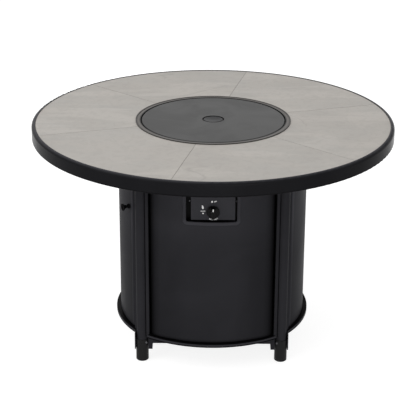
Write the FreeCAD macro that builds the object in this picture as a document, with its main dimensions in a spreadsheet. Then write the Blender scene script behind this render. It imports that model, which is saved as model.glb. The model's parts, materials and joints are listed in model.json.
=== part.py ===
"""Round gas fire pit table: a tiled top in a steel rim, a burner pan with a
lift-off lid, and a drum of curved panels between four tube legs.

Millimetres. The origin is on the floor under the table's centre, +Z is up
and the control side faces -Y. Each piece is one object of the document, and
its label names the STEP file that it is written to."""
import FreeCAD, Part
import math
import os
import Sketcher

SIZES = [
    ("top_radius", 533.5, "table top, centre to rim"),
    ("table_height", 688, "floor to top of rim"),
    ("rim_depth", 41, "height of the rim band"),
    ("rim_sheet", 2, "rim sheet thickness"),
    ("rim_round", 8, "outside corner at the rim's top"),
    ("rim_foot_round", 3, "outside corner at the rim's bottom"),
    ("rim_ledge", 11.2, "width of the rim's flat top"),
    ("rim_return", 18, "inward return under the rim"),
    ("tile_count", 6, "tiles in the ring"),
    ("tile_thick", 8, "tile thickness"),
    ("tile_drop", 1, "tile face below the rim's top"),
    ("tile_gap", 1.4, "joint between tiles"),
    ("tile_turn", 12.1, "first joint, left of the front, degrees"),
    ("tile_play", 2.4, "tiles and deck round the burner pan's step"),
    ("deck_thick", 6, "cement board under the tiles"),
    ("frame_tube", 24, "square tube of the top frame"),
    ("frame_wall", 1.5, "wall of the top frame's tube"),
    ("tile_overhang", 18, "tiles inside the frame's ring"),
    ("spoke_count", 8, "arms of the top frame"),
    ("flange_width", 14.5, "burner pan's flange on the tiles"),
    ("pan_sheet", 1.5, "burner pan sheet"),
    ("bead_height", 1, "rolled bead above the flange"),
    ("bead_width", 3.2, "rolled bead at the flange's edge"),
    ("ledge_drop", 11, "flange down to the lid's ledge"),
    ("ledge_width", 9, "ledge that the lid rests on"),
    ("pan_depth", 78, "flange down to the pan's floor"),
    ("pan_taper", 12, "lean of the pan's wall"),
    ("drain_place", 77, "drain holes in the pan's floor, from the centre"),
    ("drain_radius", 4, "drain hole in the pan's floor"),
    ("lid_radius", 211.2, "lid"),
    ("lid_gap", 3.2, "gap round the lid"),
    ("lid_sheet", 1.5, "lid sheet"),
    ("lid_round", 2.5, "lid's outside corner"),
    ("cup_radius", 32.3, "recess in the middle of the lid"),
    ("cup_depth", 16, "depth of that recess"),
    ("lift_gap", 3.6, "gap round the lift knob"),
    ("lift_disc", 4, "lift knob's disc at its edge"),
    ("lift_travel", 18, "how far the lift knob pulls up"),
    ("lift_stem", 4, "radius of the lift knob's stem"),
    ("lift_hub", 10, "radius of the lift knob's hub"),
    ("burner_radius", 140, "burner ring, centre line"),
    ("burner_tube", 9.5, "radius of the burner tube"),
    ("burner_wall", 1.5, "wall of the burner's tubes and the air mixer"),
    ("burner_rise", 21, "burner centre above the pan's floor"),
    ("port_radius", 1.6, "gas port"),
    ("port_count", 28, "gas ports round the ring"),
    ("mixer_radius", 11, "air mixer under the pan"),
    ("mixer_length", 24, "air mixer below the pan's floor"),
    ("mixer_play", 0.2, "air mixer round the gas pipe"),
    ("shield_inset", 5.1, "heat shield inside the foot of the pan's wall"),
    ("spacer_place", 120, "heat shield's spacers from the centre"),
    ("shield_drop", 12, "heat shield below the pan"),
    ("shield_sheet", 1.2, "heat shield sheet"),
    ("shield_lip", 8, "turned-down edge of the heat shield"),
    ("panel_to_leg", 28.6, "leg axis to the side of a panel, across the panel"),
    ("panel_bulge", 75.4, "leg axis to the middle of a panel, outward"),
    ("panel_rise", 50.3, "middle of a panel beyond its sides"),
    ("panel_sheet", 1.5, "panel sheet"),
    ("panel_return", 22, "depth of a panel's folded edges"),
    ("panel_roll", 9, "radius of a panel's upright edges"),
    ("panel_fold", 4, "radius of a panel's level edges"),
    ("base_top", 92, "floor to the base plate's top"),
    ("base_proud", 13, "base plate's edge beyond the middle of a panel"),
    ("base_curl", 24, "base plate's sides bowed tighter than the panels, radius"),
    ("base_sheet", 2, "base plate sheet"),
    ("base_lip", 9, "turned-down edge of the base plate"),
    ("notch_play", 0.5, "base plate round a leg's tube and fins"),
    ("ring_sheet", 4, "upper ring of the base"),
    ("leg_place", 206.6, "leg axis from the centre, along X and Y"),
    ("leg_radius", 15.9, "leg tube"),
    ("leg_wall", 1.5, "leg tube wall"),
    ("plug_height", 12, "threaded plug in the top of a leg"),
    ("leg_lift", 0.2, "leg tube above the foot cap's floor"),
    ("fin_width", 15.1, "fin beyond the leg tube"),
    ("fin_sheet", 2.5, "fin thickness"),
    ("fin_bottom", 80, "floor to the fin"),
    ("foot_wall", 2.8, "foot cap wall"),
    ("foot_play", 0.05, "foot cap round the leg tube"),
    ("foot_height", 70, "foot cap"),
    ("foot_screw_height", 61, "floor to the screw in a foot cap"),
    ("foot_floor", 4, "foot cap under the tube"),
    ("rail_width", 25.4, "rail under the base plate"),
    ("rail_height", 32, "rail under the base plate"),
    ("rail_wall", 1.5, "rail wall"),
    ("socket_inner", 11.85, "foot cap to the socket's inner cheek"),
    ("socket_outer", 3.15, "foot cap to the socket's outer cheek"),
    ("socket_play", 0.25, "foot cap to the socket's web"),
    ("socket_height", 51.4, "socket below the base plate"),
    ("socket_sheet", 3, "socket sheet"),
    ("door_gap", 1.5, "door above the plate and below the ring"),
    ("hinge_from_side", 13, "door hinge from the door's side"),
    ("hinge_inset", 11.5, "door hinge behind the door's face"),
    ("hinge_pin", 3, "radius of the hinge pin"),
    ("hinge_play", 0.1, "play round the hinge pin"),
    ("door_knob_inset", 15.2, "door knob from the door's free side"),
    ("door_knob_drop", 170, "door knob below the upper ring"),
    ("door_knob_reach", 23, "door knob's length"),
    ("door_knob_head", 10.6, "radius of the door knob's head"),
    ("catch_gap", 0.8, "magnet catch to the door's side"),
    ("opening_width", 144, "control opening"),
    ("opening_shift", 2.5, "control opening left of the middle"),
    ("opening_drop", 45, "control opening below the upper ring"),
    ("opening_height", 126, "control opening"),
    ("opening_round", 4, "corners of the control opening"),
    ("bezel_width", 10, "pressed border round the opening"),
    ("bezel_proud", 2.4, "pressed border above the panel"),
    ("bezel_round", 2.1, "outside edge of the pressed border"),
    ("bezel_roll", 3, "edge of the pressed border at the opening"),
    ("plate_gap_left", 13.6, "control plate to the opening's left side"),
    ("plate_gap_right", 5.4, "control plate to the opening's right side"),
    ("plate_gap_below", 2.5, "control plate above the opening's bottom"),
    ("plate_gap_above", 3, "control plate below the opening's top"),
    ("plate_depth", 13, "control plate behind the panel's face"),
    ("plate_sheet", 2, "control plate"),
    ("plate_screw_head", 3, "radius of the head of a plate screw"),
    ("plate_screw_low", 51.5, "lower plate screws above the plate's bottom"),
    ("plate_screw_high", 15, "upper plate screws below the plate's top"),
    ("plate_fold", 14, "sides of the control plate, folded back"),
    ("fold_sheet", 1.5, "folded sides and feet of the control plate"),
    ("box_depth", 62, "control box"),
    ("box_sheet", 1.2, "control box"),
    ("knob_side", 2, "control knob right of the middle"),
    ("knob_rise", 25.5, "control knob above the plate's bottom"),
    ("knob_radius", 18.4, "control knob's skirt"),
    ("knob_skirt", 5, "control knob's skirt"),
    ("knob_grip", 12.5, "control knob's grip beyond its skirt"),
    ("grip_width", 15, "control knob's grip"),
    ("knob_press", 4, "travel of the control knob when pressed"),
    ("knob_rest", 0.6, "pressed knob to the control plate"),
    ("stem_radius", 4, "valve stem"),
    ("valve_width", 30, "valve body"),
    ("valve_flange", 13, "valve body behind the control plate"),
    ("neck_radius", 6, "valve's neck through the control plate"),
    ("inlet_radius", 7, "valve's hose inlet"),
    ("inlet_length", 18, "valve's hose inlet below its body"),
    ("inlet_bore", 4, "radius of the bore in the inlet"),
    ("nut_room", 13, "radius of the hole for the hose's nut"),
    ("plug_radius", 9, "turning plug in the valve"),
    ("plug_length", 24, "turning plug in the valve"),
    ("pipe_radius", 4.8, "gas pipe"),
    ("pipe_bend", 20, "gas pipe's bends"),
    ("pipe_drop", 43, "gas pipe's level run below the pan"),
    ("tank_ring_radius", 104, "ring that locates the gas bottle"),
    ("tank_ring_height", 10, "ring that locates the gas bottle"),
    ("panel_screw_side", 112, "panel screws, each side of a panel's middle"),
    ("panel_screw_inset", 12, "panel screws behind the panel's face"),
    ("bolt_radius", 4, "bolts that hold the top on the legs"),
    ("leg_bolt_head", 6.5, "radius of the head of the bolts that hold the top"),
    ("socket_bolt_height", 78, "floor to the bolt between leg and socket"),
    ("socket_bolt_shank", 3, "radius of the bolt between leg and socket"),
    ("socket_bolt_head", 6, "radius of that bolt's head"),
    ("screw_head", 4.2, "radius of a screw's head"),
    ("screw_head_height", 2.4, "height of a screw's head"),
    ("screw_shank", 2, "radius of a screw's shank"),
    ("knob_screw", 2.4, "radius of the shank of the door knob's screw"),
    ("screw_play", 0.1, "play round a screw's shank"),
    ("seat", 0.3, "clearance between a loose piece and its seat"),
]

doc = FreeCAD.newDocument("fire_table")
sheet = doc.addObject("Spreadsheet::Sheet", "dims")


class Size:
    """A length or angle with both its value and its sheet expression."""

    def __init__(self, value, text):
        self.value = value
        self.text = text

    def __add__(self, other):
        return Size(self.value + value(other), f"({self.text} + {text(other)})")

    def __radd__(self, other):
        return self + other

    def __sub__(self, other):
        return Size(self.value - value(other), f"({self.text} - {text(other)})")

    def __rsub__(self, other):
        return Size(value(other) - self.value, f"({text(other)} - {self.text})")

    def __mul__(self, other):
        return Size(self.value * value(other), f"({self.text} * {text(other)})")

    def __rmul__(self, other):
        return self * other

    def __truediv__(self, other):
        return Size(self.value / value(other), f"({self.text} / {text(other)})")

    def __rtruediv__(self, other):
        return Size(value(other) / self.value, f"({text(other)} / {self.text})")

    def __neg__(self):
        return Size(-self.value, f"(0 - {self.text})")


def value(size):
    return size.value if isinstance(size, Size) else float(size)


def text(size):
    return size.text if isinstance(size, Size) else f"({float(size)})"


def sine(angle):
    return Size(math.sin(math.radians(value(angle))), f"sin({text(angle)})")


def cosine(angle):
    return Size(math.cos(math.radians(value(angle))), f"cos({text(angle)})")


def root(size):
    return Size(math.sqrt(value(size)), f"sqrt({text(size)})")


class Sizes:
    """The sheet's values by name, such as S.top_radius."""


S = Sizes()
for row, (alias, number, note) in enumerate(SIZES, start=1):
    sheet.set(f"A{row}", note)
    sheet.set(f"B{row}", str(number))
    sheet.setAlias(f"B{row}", alias)
    setattr(S, alias, Size(float(number), f"dims.{alias}"))
doc.recompute()

pieces = []


def bind(thing, prop, size):
    """Ties a property to the sheet, or sets it where the size is a plain number."""
    if isinstance(size, Size):
        thing.setExpression(prop, size.text)
        return
    thing.setExpression(prop, None)
    setattr(thing, prop, size)


def new_body(label, piece=True):
    """A body, which is a piece of the table unless it only helps to make one."""
    body = doc.addObject("PartDesign::Body", label)
    body.Label = label
    if piece:
        pieces.append(body)
    return body


def origin_item(body, role):
    return next(item for item in body.Origin.OriginFeatures if item.Role == role)


def new_sketch(body, role, offset=None):
    """A sketch on an origin plane of its own body, moved along the plane's normal.
    The normals are +Z on XY_Plane, -Y on XZ_Plane and +X on YZ_Plane."""
    sketch = body.newObject("Sketcher::SketchObject", f"{body.Name}_sketch")
    sketch.AttachmentSupport = [(origin_item(body, role), "")]
    sketch.MapMode = "FlatFace"
    if offset is not None:
        sketch.AttachmentOffset = FreeCAD.Placement(
            FreeCAD.Vector(0, 0, value(offset)), FreeCAD.Rotation())
        sketch.setExpression("AttachmentOffset.Base.z", text(offset))
    return sketch


def hold(sketch, kind, where, size):
    """Adds a constraint and ties its value to the sheet."""
    index = sketch.addConstraint(Sketcher.Constraint(kind, *where, value(size)))
    if isinstance(size, Size):
        sketch.setExpression(f"Constraints[{index}]", size.text)


def arc_between(start, end, radius, bulge):
    """An arc from start to end that bulges to the right of the way there (bulge 1)
    or to the left of it (bulge -1), always by less than half a circle. It is made
    counterclockwise, as a sketch holds its arcs, so bulge -1 swaps its ends."""
    a = FreeCAD.Vector(*start, 0)
    b = FreeCAD.Vector(*end, 0)
    along = b - a
    half = along.Length / 2
    right = FreeCAD.Vector(along.y, -along.x, 0).normalize() * bulge
    sagitta = radius - math.sqrt(radius * radius - half * half)
    middle = (a + b) * 0.5 + right * sagitta
    return Part.Arc(a, middle, b) if bulge > 0 else Part.Arc(b, middle, a)


def draw_loop(sketch, corners, arcs=None):
    """A closed loop through corners, each a pair of sizes. arcs maps the number of
    a side to its radius and bulge; every other side is straight."""
    arcs = arcs or {}
    first = sketch.GeometryCount
    count = len(corners)
    spots = [(value(x), value(y)) for x, y in corners]
    heads = {}
    for side in range(count):
        start = spots[side]
        end = spots[(side + 1) % count]
        if side in arcs:
            radius, bulge = arcs[side]
            curve = arc_between(start, end, value(radius), bulge)
            sketch.addGeometry(curve, False)
            held = sketch.Geometry[first + side].StartPoint
            ahead = (held - FreeCAD.Vector(*start, 0)).Length < 1e-6
            heads[side] = (1, 2) if ahead else (2, 1)
        else:
            line = Part.LineSegment(FreeCAD.Vector(*start, 0), FreeCAD.Vector(*end, 0))
            sketch.addGeometry(line, False)
            heads[side] = (1, 2)
    for side in range(count):
        after = (side + 1) % count
        sketch.addConstraint(Sketcher.Constraint(
            "Coincident", first + side, heads[side][1], first + after, heads[after][0]))
    for side, (x, y) in enumerate(corners):
        hold(sketch, "DistanceX", (first + side, heads[side][0]), x)
        hold(sketch, "DistanceY", (first + side, heads[side][0]), y)
    for side, (radius, bulge) in arcs.items():
        hold(sketch, "Radius", (first + side,), radius)


def draw_circle(sketch, x, y, radius):
    index = sketch.addGeometry(Part.Circle(
        FreeCAD.Vector(value(x), value(y), 0), FreeCAD.Vector(0, 0, 1), value(radius)), False)
    hold(sketch, "DistanceX", (index, 3), x)
    hold(sketch, "DistanceY", (index, 3), y)
    hold(sketch, "Radius", (index,), radius)


def rectangle(x0, x1, y0, y1):
    return [(x0, y0), (x1, y0), (x1, y1), (x0, y1)]


def rounded(x0, x1, y0, y1, radius):
    """Corners and arcs of a rectangle with rounded corners."""
    corners = [(x0 + radius, y0), (x1 - radius, y0), (x1, y0 + radius), (x1, y1 - radius),
               (x1 - radius, y1), (x0 + radius, y1), (x0, y1 - radius), (x0, y0 + radius)]
    return corners, {side: (radius, 1) for side in (1, 3, 5, 7)}


def pad(body, sketch, length, midplane=False, back=False):
    feature = body.newObject("PartDesign::Pad", f"{body.Name}_pad")
    feature.Profile = sketch
    bind(feature, "Length", length)
    feature.Midplane = midplane
    feature.Reversed = back
    doc.recompute()
    return feature


def pocket(body, sketch, length=None, midplane=False, back=False):
    """Cuts the sketch out of the body, right through where no length is given."""
    before = body.Shape.Volume
    feature = body.newObject("PartDesign::Pocket", f"{body.Name}_pocket")
    feature.Profile = sketch
    feature.Midplane = midplane
    feature.Reversed = back
    if length is None:
        feature.Type = "ThroughAll"
    else:
        bind(feature, "Length", length)
    doc.recompute()
    if body.Shape.Volume > before - 1e-6:
        raise ValueError(f"{feature.Name} cuts nothing")
    return feature


def revolve(body, sketch, angle=360.0):
    feature = body.newObject("PartDesign::Revolution", f"{body.Name}_turn")
    feature.Profile = sketch
    feature.ReferenceAxis = (sketch, ["V_Axis"])
    feature.Angle = angle
    doc.recompute()
    return feature


def around(body, feature, count):
    """Repeats a feature of the body round its Z axis."""
    pattern = body.newObject("PartDesign::PolarPattern", f"{body.Name}_pattern")
    pattern.Originals = [feature]
    pattern.Axis = (origin_item(body, "Z_Axis"), [""])
    pattern.Angle = 360
    bind(pattern, "Occurrences", count)
    body.Tip = pattern
    doc.recompute()
    return pattern


def edges_where(shape, test):
    return [f"Edge{i}" for i, edge in enumerate(shape.Edges, start=1) if test(edge)]


def round_edges(body, radius, test):
    names = edges_where(body.Shape, test)
    if not names:
        raise ValueError(f"{body.Label} has no edge to round")
    base = body.Tip
    feature = body.newObject("PartDesign::Fillet", f"{body.Name}_round")
    feature.Base = (base, names)
    bind(feature, "Radius", radius)
    doc.recompute()
    return feature


def circle_at(radius, height):
    """Tests for a level round edge of this radius at this height."""
    def test(edge):
        curve = edge.Curve
        if not isinstance(curve, Part.Circle):
            return False
        close = abs(curve.Radius - value(radius)) < 1e-4
        return close and abs(edge.BoundBox.Center.z - value(height)) < 1e-4
    return test


def place(body, x=0.0, y=0.0, z=0.0, turn=0.0):
    body.Placement = FreeCAD.Placement(
        FreeCAD.Vector(value(x), value(y), value(z)),
        FreeCAD.Rotation(FreeCAD.Vector(0, 0, 1), value(turn)))


def turned(label, profile, arcs=None, piece=True):
    """A body turned about Z from a profile of radius and height."""
    body = new_body(label, piece)
    sketch = new_sketch(body, "XZ_Plane")
    draw_loop(sketch, profile, arcs)
    revolve(body, sketch)
    return body


def primitive(kind, **sizes):
    """A Part primitive whose own properties are tied to the sheet."""
    thing = doc.addObject(f"Part::{kind}", kind)
    for prop, size in sizes.items():
        bind(thing, prop, size)
    return thing


def box(x0, x1, y0, y1, z0, z1):
    thing = primitive("Box", Length=x1 - x0, Width=y1 - y0, Height=z1 - z0)
    move(thing, x0, y0, z0)
    return thing


def move(thing, x, y, z, rotation=None):
    """Places a primitive with its position tied to the sheet."""
    spot = FreeCAD.Vector(value(x), value(y), value(z))
    thing.Placement = FreeCAD.Placement(spot, rotation or FreeCAD.Rotation())
    for axis, size in (("x", x), ("y", y), ("z", z)):
        if isinstance(size, Size):
            thing.setExpression(f"Placement.Base.{axis}", size.text)


UP = FreeCAD.Rotation()
TOWARD_BACK = FreeCAD.Rotation(FreeCAD.Vector(1, 0, 0), -90)
TOWARD_RIGHT = FreeCAD.Rotation(FreeCAD.Vector(0, 1, 0), 90)


def rod(radius, length, x, y, z, rotation=UP):
    thing = primitive("Cylinder", Radius=radius, Height=length)
    move(thing, x, y, z, rotation)
    return thing


def joined(label, *things):
    thing = doc.addObject("Part::MultiFuse", label)
    thing.Shapes = list(things)
    thing.Label = label
    return thing


def cut(label, base, tool):
    thing = doc.addObject("Part::Cut", label)
    thing.Base = base
    thing.Tool = tool
    thing.Label = label
    return thing


def common(label, base, tool):
    thing = doc.addObject("Part::Common", label)
    thing.Base = base
    thing.Tool = tool
    thing.Label = label
    return thing


def drilled(label, base, tools):
    """Cuts a list of tools out of a solid."""
    tool = tools[0] if len(tools) == 1 else joined(f"{label}_tools", *tools)
    return finished(cut(label, base, tool))


def softened(label, base, rules):
    """A copy of a shape with its edges rounded. Each rule is a radius and a test for
    the edges that it rounds."""
    doc.recompute()
    feature = doc.addObject("Part::Fillet", label)
    feature.Base = base
    feature.Edges = [(number, radius.value, radius.value)
                     for number, edge in enumerate(base.Shape.Edges, start=1)
                     for radius, test in rules if test(edge)]
    doc.recompute()
    return feature


def finished(thing):
    """Marks a primitive or boolean as a piece of the table."""
    pieces.append(thing)
    return thing


def group(label, shapes):
    """Several like solids in one piece, such as a set of screws."""
    thing = doc.addObject("Part::Feature", label)
    thing.Label = label
    thing.Shape = Part.makeCompound(shapes)
    pieces.append(thing)
    return thing


def pan_screw(radius, head, shank, length):
    """A screw that points down from the origin. Its head is domed, with a cross in
    it for the driver."""
    dome = Part.makeSphere(value(radius) * 1.35).common(
        Part.makeCylinder(value(radius), value(head)).translated(
            FreeCAD.Vector(0, 0, value(radius) * 1.35 - value(head))))
    dome.translate(FreeCAD.Vector(0, 0, value(head) - value(radius) * 1.35))
    long = value(radius) * 1.1
    wide = value(radius) * 0.24
    deep = value(head) * 0.55
    for size_x, size_y in ((long, wide), (wide, long)):
        dome = dome.cut(Part.makeBox(size_x, size_y, deep + 1, FreeCAD.Vector(
            -size_x / 2, -size_y / 2, value(head) - deep)))
    return dome.fuse(Part.makeCylinder(value(shank), length).translated(
        FreeCAD.Vector(0, 0, -length)))


def aimed(shape, spot, direction):
    """A copy of a shape moved to a spot with its own +Z along a direction."""
    shape = shape.copy()
    shape.Placement = FreeCAD.Placement(
        FreeCAD.Vector(*[value(size) for size in spot]),
        FreeCAD.Rotation(FreeCAD.Vector(0, 0, 1), FreeCAD.Vector(*direction)))
    return shape


# The legs' corners, as the signs of X and Y
LEG_SIGNS = {"front_left": (-1, -1), "front_right": (1, -1),
             "rear_right": (1, 1), "rear_left": (-1, 1)}

# Heights that several pieces share
rim_bottom = S.table_height - S.rim_depth
tile_top = S.table_height - S.tile_drop
deck_top = tile_top - S.tile_thick
frame_top = deck_top - S.deck_thick
frame_bottom = frame_top - S.frame_tube
flange_top = tile_top + S.pan_sheet
ledge_top = flange_top - S.ledge_drop
pan_floor = flange_top - S.pan_depth
pan_under = pan_floor - S.pan_sheet
burner_level = pan_floor + S.burner_rise
upper_ring_bottom = frame_bottom - S.ring_sheet
base_under = S.base_top - S.base_sheet
base_bottom = S.base_top - S.base_lip
pan_step = S.lid_radius + S.lid_gap
pan_edge = pan_step + S.flange_width
pan_wall_top = pan_step - S.ledge_width
pan_wall_foot = pan_wall_top - S.pan_taper
tile_bore = pan_step + S.pan_sheet + S.tile_play
frame_ring = tile_bore + S.tile_overhang

# The legs and the drum between them
foot_radius = S.leg_radius + S.foot_play + S.foot_wall
fin_reach = S.leg_radius + S.fin_width
drum_reach = S.leg_place + S.panel_bulge
panel_side = S.leg_place - S.panel_to_leg
panel_bow = (panel_side * panel_side + S.panel_rise * S.panel_rise) / (2 * S.panel_rise)
bow_centre = panel_bow - drum_reach
hinge_side = panel_side - S.hinge_from_side
socket_web = S.leg_place - foot_radius - S.socket_play
socket_inner = foot_radius + S.socket_inner
door_knob_height = upper_ring_bottom - S.door_knob_drop

# The control opening, its plate and what is on the plate
opening_left = -S.opening_width / 2 - S.opening_shift
opening_right = S.opening_width / 2 - S.opening_shift
opening_top = upper_ring_bottom - S.opening_drop
opening_bottom = opening_top - S.opening_height
plate_left = opening_left + S.plate_gap_left
plate_right = opening_right - S.plate_gap_right
plate_bottom = opening_bottom + S.plate_gap_below
plate_top = opening_top - S.plate_gap_above
plate_face = S.plate_depth - drum_reach
plate_back = plate_face + S.plate_sheet
knob_height = plate_bottom + S.knob_rise
knob_back = plate_face - S.knob_press - S.knob_rest
valve_middle = plate_back + S.valve_flange + S.valve_width / 2
pipe_level = pan_under - S.pipe_drop


def make_top_rim():
    """Rolled band: rounded top corner, flat ledge folded down beside the tiles,
    and a return under the frame's arms."""
    outside = S.top_radius
    inside = S.top_radius - S.rim_sheet
    ledge = S.top_radius - S.rim_ledge
    top = S.table_height
    rim = turned("top_rim", [
        (outside, rim_bottom),
        (outside, top),
        (ledge, top),
        (ledge, deck_top + S.seat),
        (ledge + S.rim_sheet, deck_top + S.seat),
        (ledge + S.rim_sheet, top - S.rim_sheet),
        (inside, top - S.rim_sheet),
        (inside, rim_bottom + S.rim_sheet),
        (outside - S.rim_return, rim_bottom + S.rim_sheet),
        (outside - S.rim_return, rim_bottom)])
    round_edges(rim, S.rim_round - S.rim_sheet, circle_at(inside, top - S.rim_sheet))
    round_edges(rim, S.rim_round, circle_at(outside, top))
    round_edges(rim, S.rim_foot_round, circle_at(outside, rim_bottom))


def make_tiles():
    """Six ring sectors. In its own frame a tile lies from +X round to the next
    joint, and both of its straight edges stand back by half the joint."""
    outer = S.top_radius - S.rim_ledge - S.tile_gap
    half = S.tile_gap / 2
    step = 360 / S.tile_count
    reach_in = root(tile_bore * tile_bore - half * half)
    reach_out = root(outer * outer - half * half)

    def far_corner(reach):
        return (reach * cosine(step) + half * sine(step),
                reach * sine(step) - half * cosine(step))

    for number in range(int(S.tile_count.value)):
        tile = new_body(f"tile_{number + 1}")
        sketch = new_sketch(tile, "XY_Plane", deck_top)
        draw_loop(sketch,
                  [(reach_in, half), (reach_out, half),
                   far_corner(reach_out), far_corner(reach_in)],
                  {1: (outer, 1), 3: (tile_bore, -1)})
        pad(tile, sketch, S.tile_thick)
        place(tile, turn=-90 - S.tile_turn.value + number * step.value)


def make_support_deck():
    turned("support_deck", rectangle(
        tile_bore - 2, S.top_radius - S.rim_sheet - 1.5, frame_top, deck_top))


def make_top_frame():
    """Ring and arms of square tube. The arms rest on the rim's return, and four
    of them take the bolts that hold the top on the legs."""
    ring_out = frame_ring + S.frame_tube
    frame = turned("top_frame", rectangle(
        frame_ring, ring_out, frame_bottom, frame_top))
    arm = new_sketch(frame, "YZ_Plane", ring_out - 2)
    half = S.frame_tube / 2
    wall = S.frame_wall
    draw_loop(arm, rectangle(-half, half, frame_bottom, frame_top))
    draw_loop(arm, rectangle(wall - half, half - wall, frame_bottom + wall, frame_top - wall))
    spoke = pad(frame, arm, S.top_radius - S.rim_sheet - 1.5 - ring_out + 2)
    around(frame, spoke, S.spoke_count)
    hollow = new_sketch(frame, "XZ_Plane")
    draw_loop(hollow, rectangle(frame_ring + wall, ring_out - wall,
                                frame_bottom + wall, frame_top - wall))
    groove = frame.newObject("PartDesign::Groove", "top_frame_groove")
    groove.Profile = hollow
    groove.ReferenceAxis = (hollow, ["V_Axis"])
    groove.Angle = 360
    doc.recompute()
    holes = new_sketch(frame, "XY_Plane", frame_bottom)
    for sx, sy in LEG_SIGNS.values():
        draw_circle(holes, sx * S.leg_place, sy * S.leg_place, S.bolt_radius + S.screw_play)
    pocket(frame, holes, wall, back=True)
    access = new_sketch(frame, "XY_Plane", frame_top)
    for sx, sy in LEG_SIGNS.values():
        draw_circle(access, sx * S.leg_place, sy * S.leg_place, S.bolt_radius + 5)
    pocket(frame, access, wall)


def make_burner_pan():
    """Drawn dish: flange with a rolled bead on the tiles, a step for the lid, a
    leaning wall and a floor with a hole for the mixer and drain holes."""
    sheet_t = S.pan_sheet
    edge = pan_edge
    step = pan_step
    wall_top = pan_wall_top
    wall_foot = pan_wall_foot
    hole = S.mixer_radius + S.seat
    pan = turned("burner_pan", [
        (hole, pan_under),
        (wall_foot + sheet_t, pan_under),
        (wall_top + sheet_t, ledge_top - sheet_t),
        (step + sheet_t, ledge_top - sheet_t),
        (step + sheet_t, tile_top),
        (edge, tile_top),
        (edge, flange_top + S.bead_height),
        (edge - S.bead_width, flange_top + S.bead_height),
        (edge - S.bead_width, flange_top),
        (step, flange_top),
        (step, ledge_top),
        (wall_top, ledge_top),
        (wall_foot, pan_floor),
        (hole, pan_floor)])
    drain = new_sketch(pan, "XY_Plane", pan_under)
    draw_circle(drain, S.drain_place, 30, S.drain_radius)
    around(pan, pocket(pan, drain, sheet_t, back=True), 4)


def make_lid():
    """Flat lid with a turned-down edge and a round recess for the lift knob."""
    top = flange_top
    sheet_t = S.lid_sheet
    cup_floor = top - S.cup_depth
    bore = S.lift_stem + S.seat
    lid = turned("lid", [
        (S.lid_radius, ledge_top),
        (S.lid_radius, top),
        (S.cup_radius, top),
        (S.cup_radius, cup_floor),
        (bore, cup_floor),
        (bore, cup_floor - sheet_t),
        (S.cup_radius + sheet_t, cup_floor - sheet_t),
        (S.cup_radius + sheet_t, top - sheet_t),
        (S.lid_radius - sheet_t, top - sheet_t),
        (S.lid_radius - sheet_t, ledge_top)])
    round_edges(lid, S.lid_round - sheet_t, circle_at(S.lid_radius - sheet_t, top - sheet_t))
    round_edges(lid, S.lid_round, circle_at(S.lid_radius, top))


def make_lift_knob():
    """Dished disc on a stem that slides through the recess. A retaining collar
    under the lid stops it when it is pulled up."""
    top = flange_top - 0.4
    dish = 1.6
    collar_width = 5
    collar_height = 3
    cup_floor = flange_top - S.cup_depth
    disc = S.cup_radius - S.lift_gap
    collar_top = cup_floor - S.lid_sheet - S.lift_travel - S.seat
    stem_end = collar_top - collar_height - 1
    turned("lift_knob", [
        (0, top - dish),
        (disc - 3, top),
        (disc, top - 0.8),
        (disc, top - S.lift_disc),
        (S.lift_hub, top - S.lift_disc),
        (S.lift_hub - 1, cup_floor + S.seat),
        (S.lift_stem, cup_floor + S.seat),
        (S.lift_stem, stem_end),
        (0, stem_end)], {0: (disc * 9, 1)})
    turned("lift_knob_collar", rectangle(
        S.lift_stem, S.lift_stem + collar_width, collar_top - collar_height, collar_top))


def make_burner():
    """Hollow ring burner with a cross tube, a hub over the mixer, gas ports on top
    and four studs on the pan's floor."""
    wall = S.burner_wall
    tube = S.burner_tube
    bar_radius = tube - 1
    stud_radius = 4
    span = 2 * S.burner_radius
    torus = primitive("Torus", Radius1=S.burner_radius, Radius2=tube)
    move(torus, 0, 0, burner_level)
    bar = rod(bar_radius, span, -S.burner_radius, 0, burner_level, TOWARD_RIGHT)
    hub = rod(S.mixer_radius + 6, 2 * tube, 0, 0, burner_level - tube)
    studs = []
    for sx, sy in LEG_SIGNS.values():
        studs.append(rod(stud_radius, S.burner_rise - tube + 1.2,
                         sx * S.burner_radius * math.sqrt(0.5),
                         sy * S.burner_radius * math.sqrt(0.5), pan_floor))
    solid = joined("burner_solid", torus, bar, hub, *studs)
    inside = primitive("Torus", Radius1=S.burner_radius, Radius2=tube - wall)
    move(inside, 0, 0, burner_level)
    bore = rod(bar_radius - wall, span, -S.burner_radius, 0, burner_level, TOWARD_RIGHT)
    well = rod(S.mixer_radius - wall, tube + 4, 0, 0, burner_level - tube)
    ports = doc.addObject("Part::Feature", "burner_ports")
    count = int(S.port_count.value)
    shapes = []
    for number in range(count):
        angle = 2 * math.pi * (number + 0.5) / count
        spot = FreeCAD.Vector(S.burner_radius.value * math.cos(angle),
                              S.burner_radius.value * math.sin(angle), burner_level.value + 4)
        shapes.append(Part.makeCylinder(S.port_radius.value, tube.value, spot))
    ports.Shape = Part.makeCompound(shapes)
    drilled("burner_ring", solid, [inside, bore, well, ports])


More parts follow.
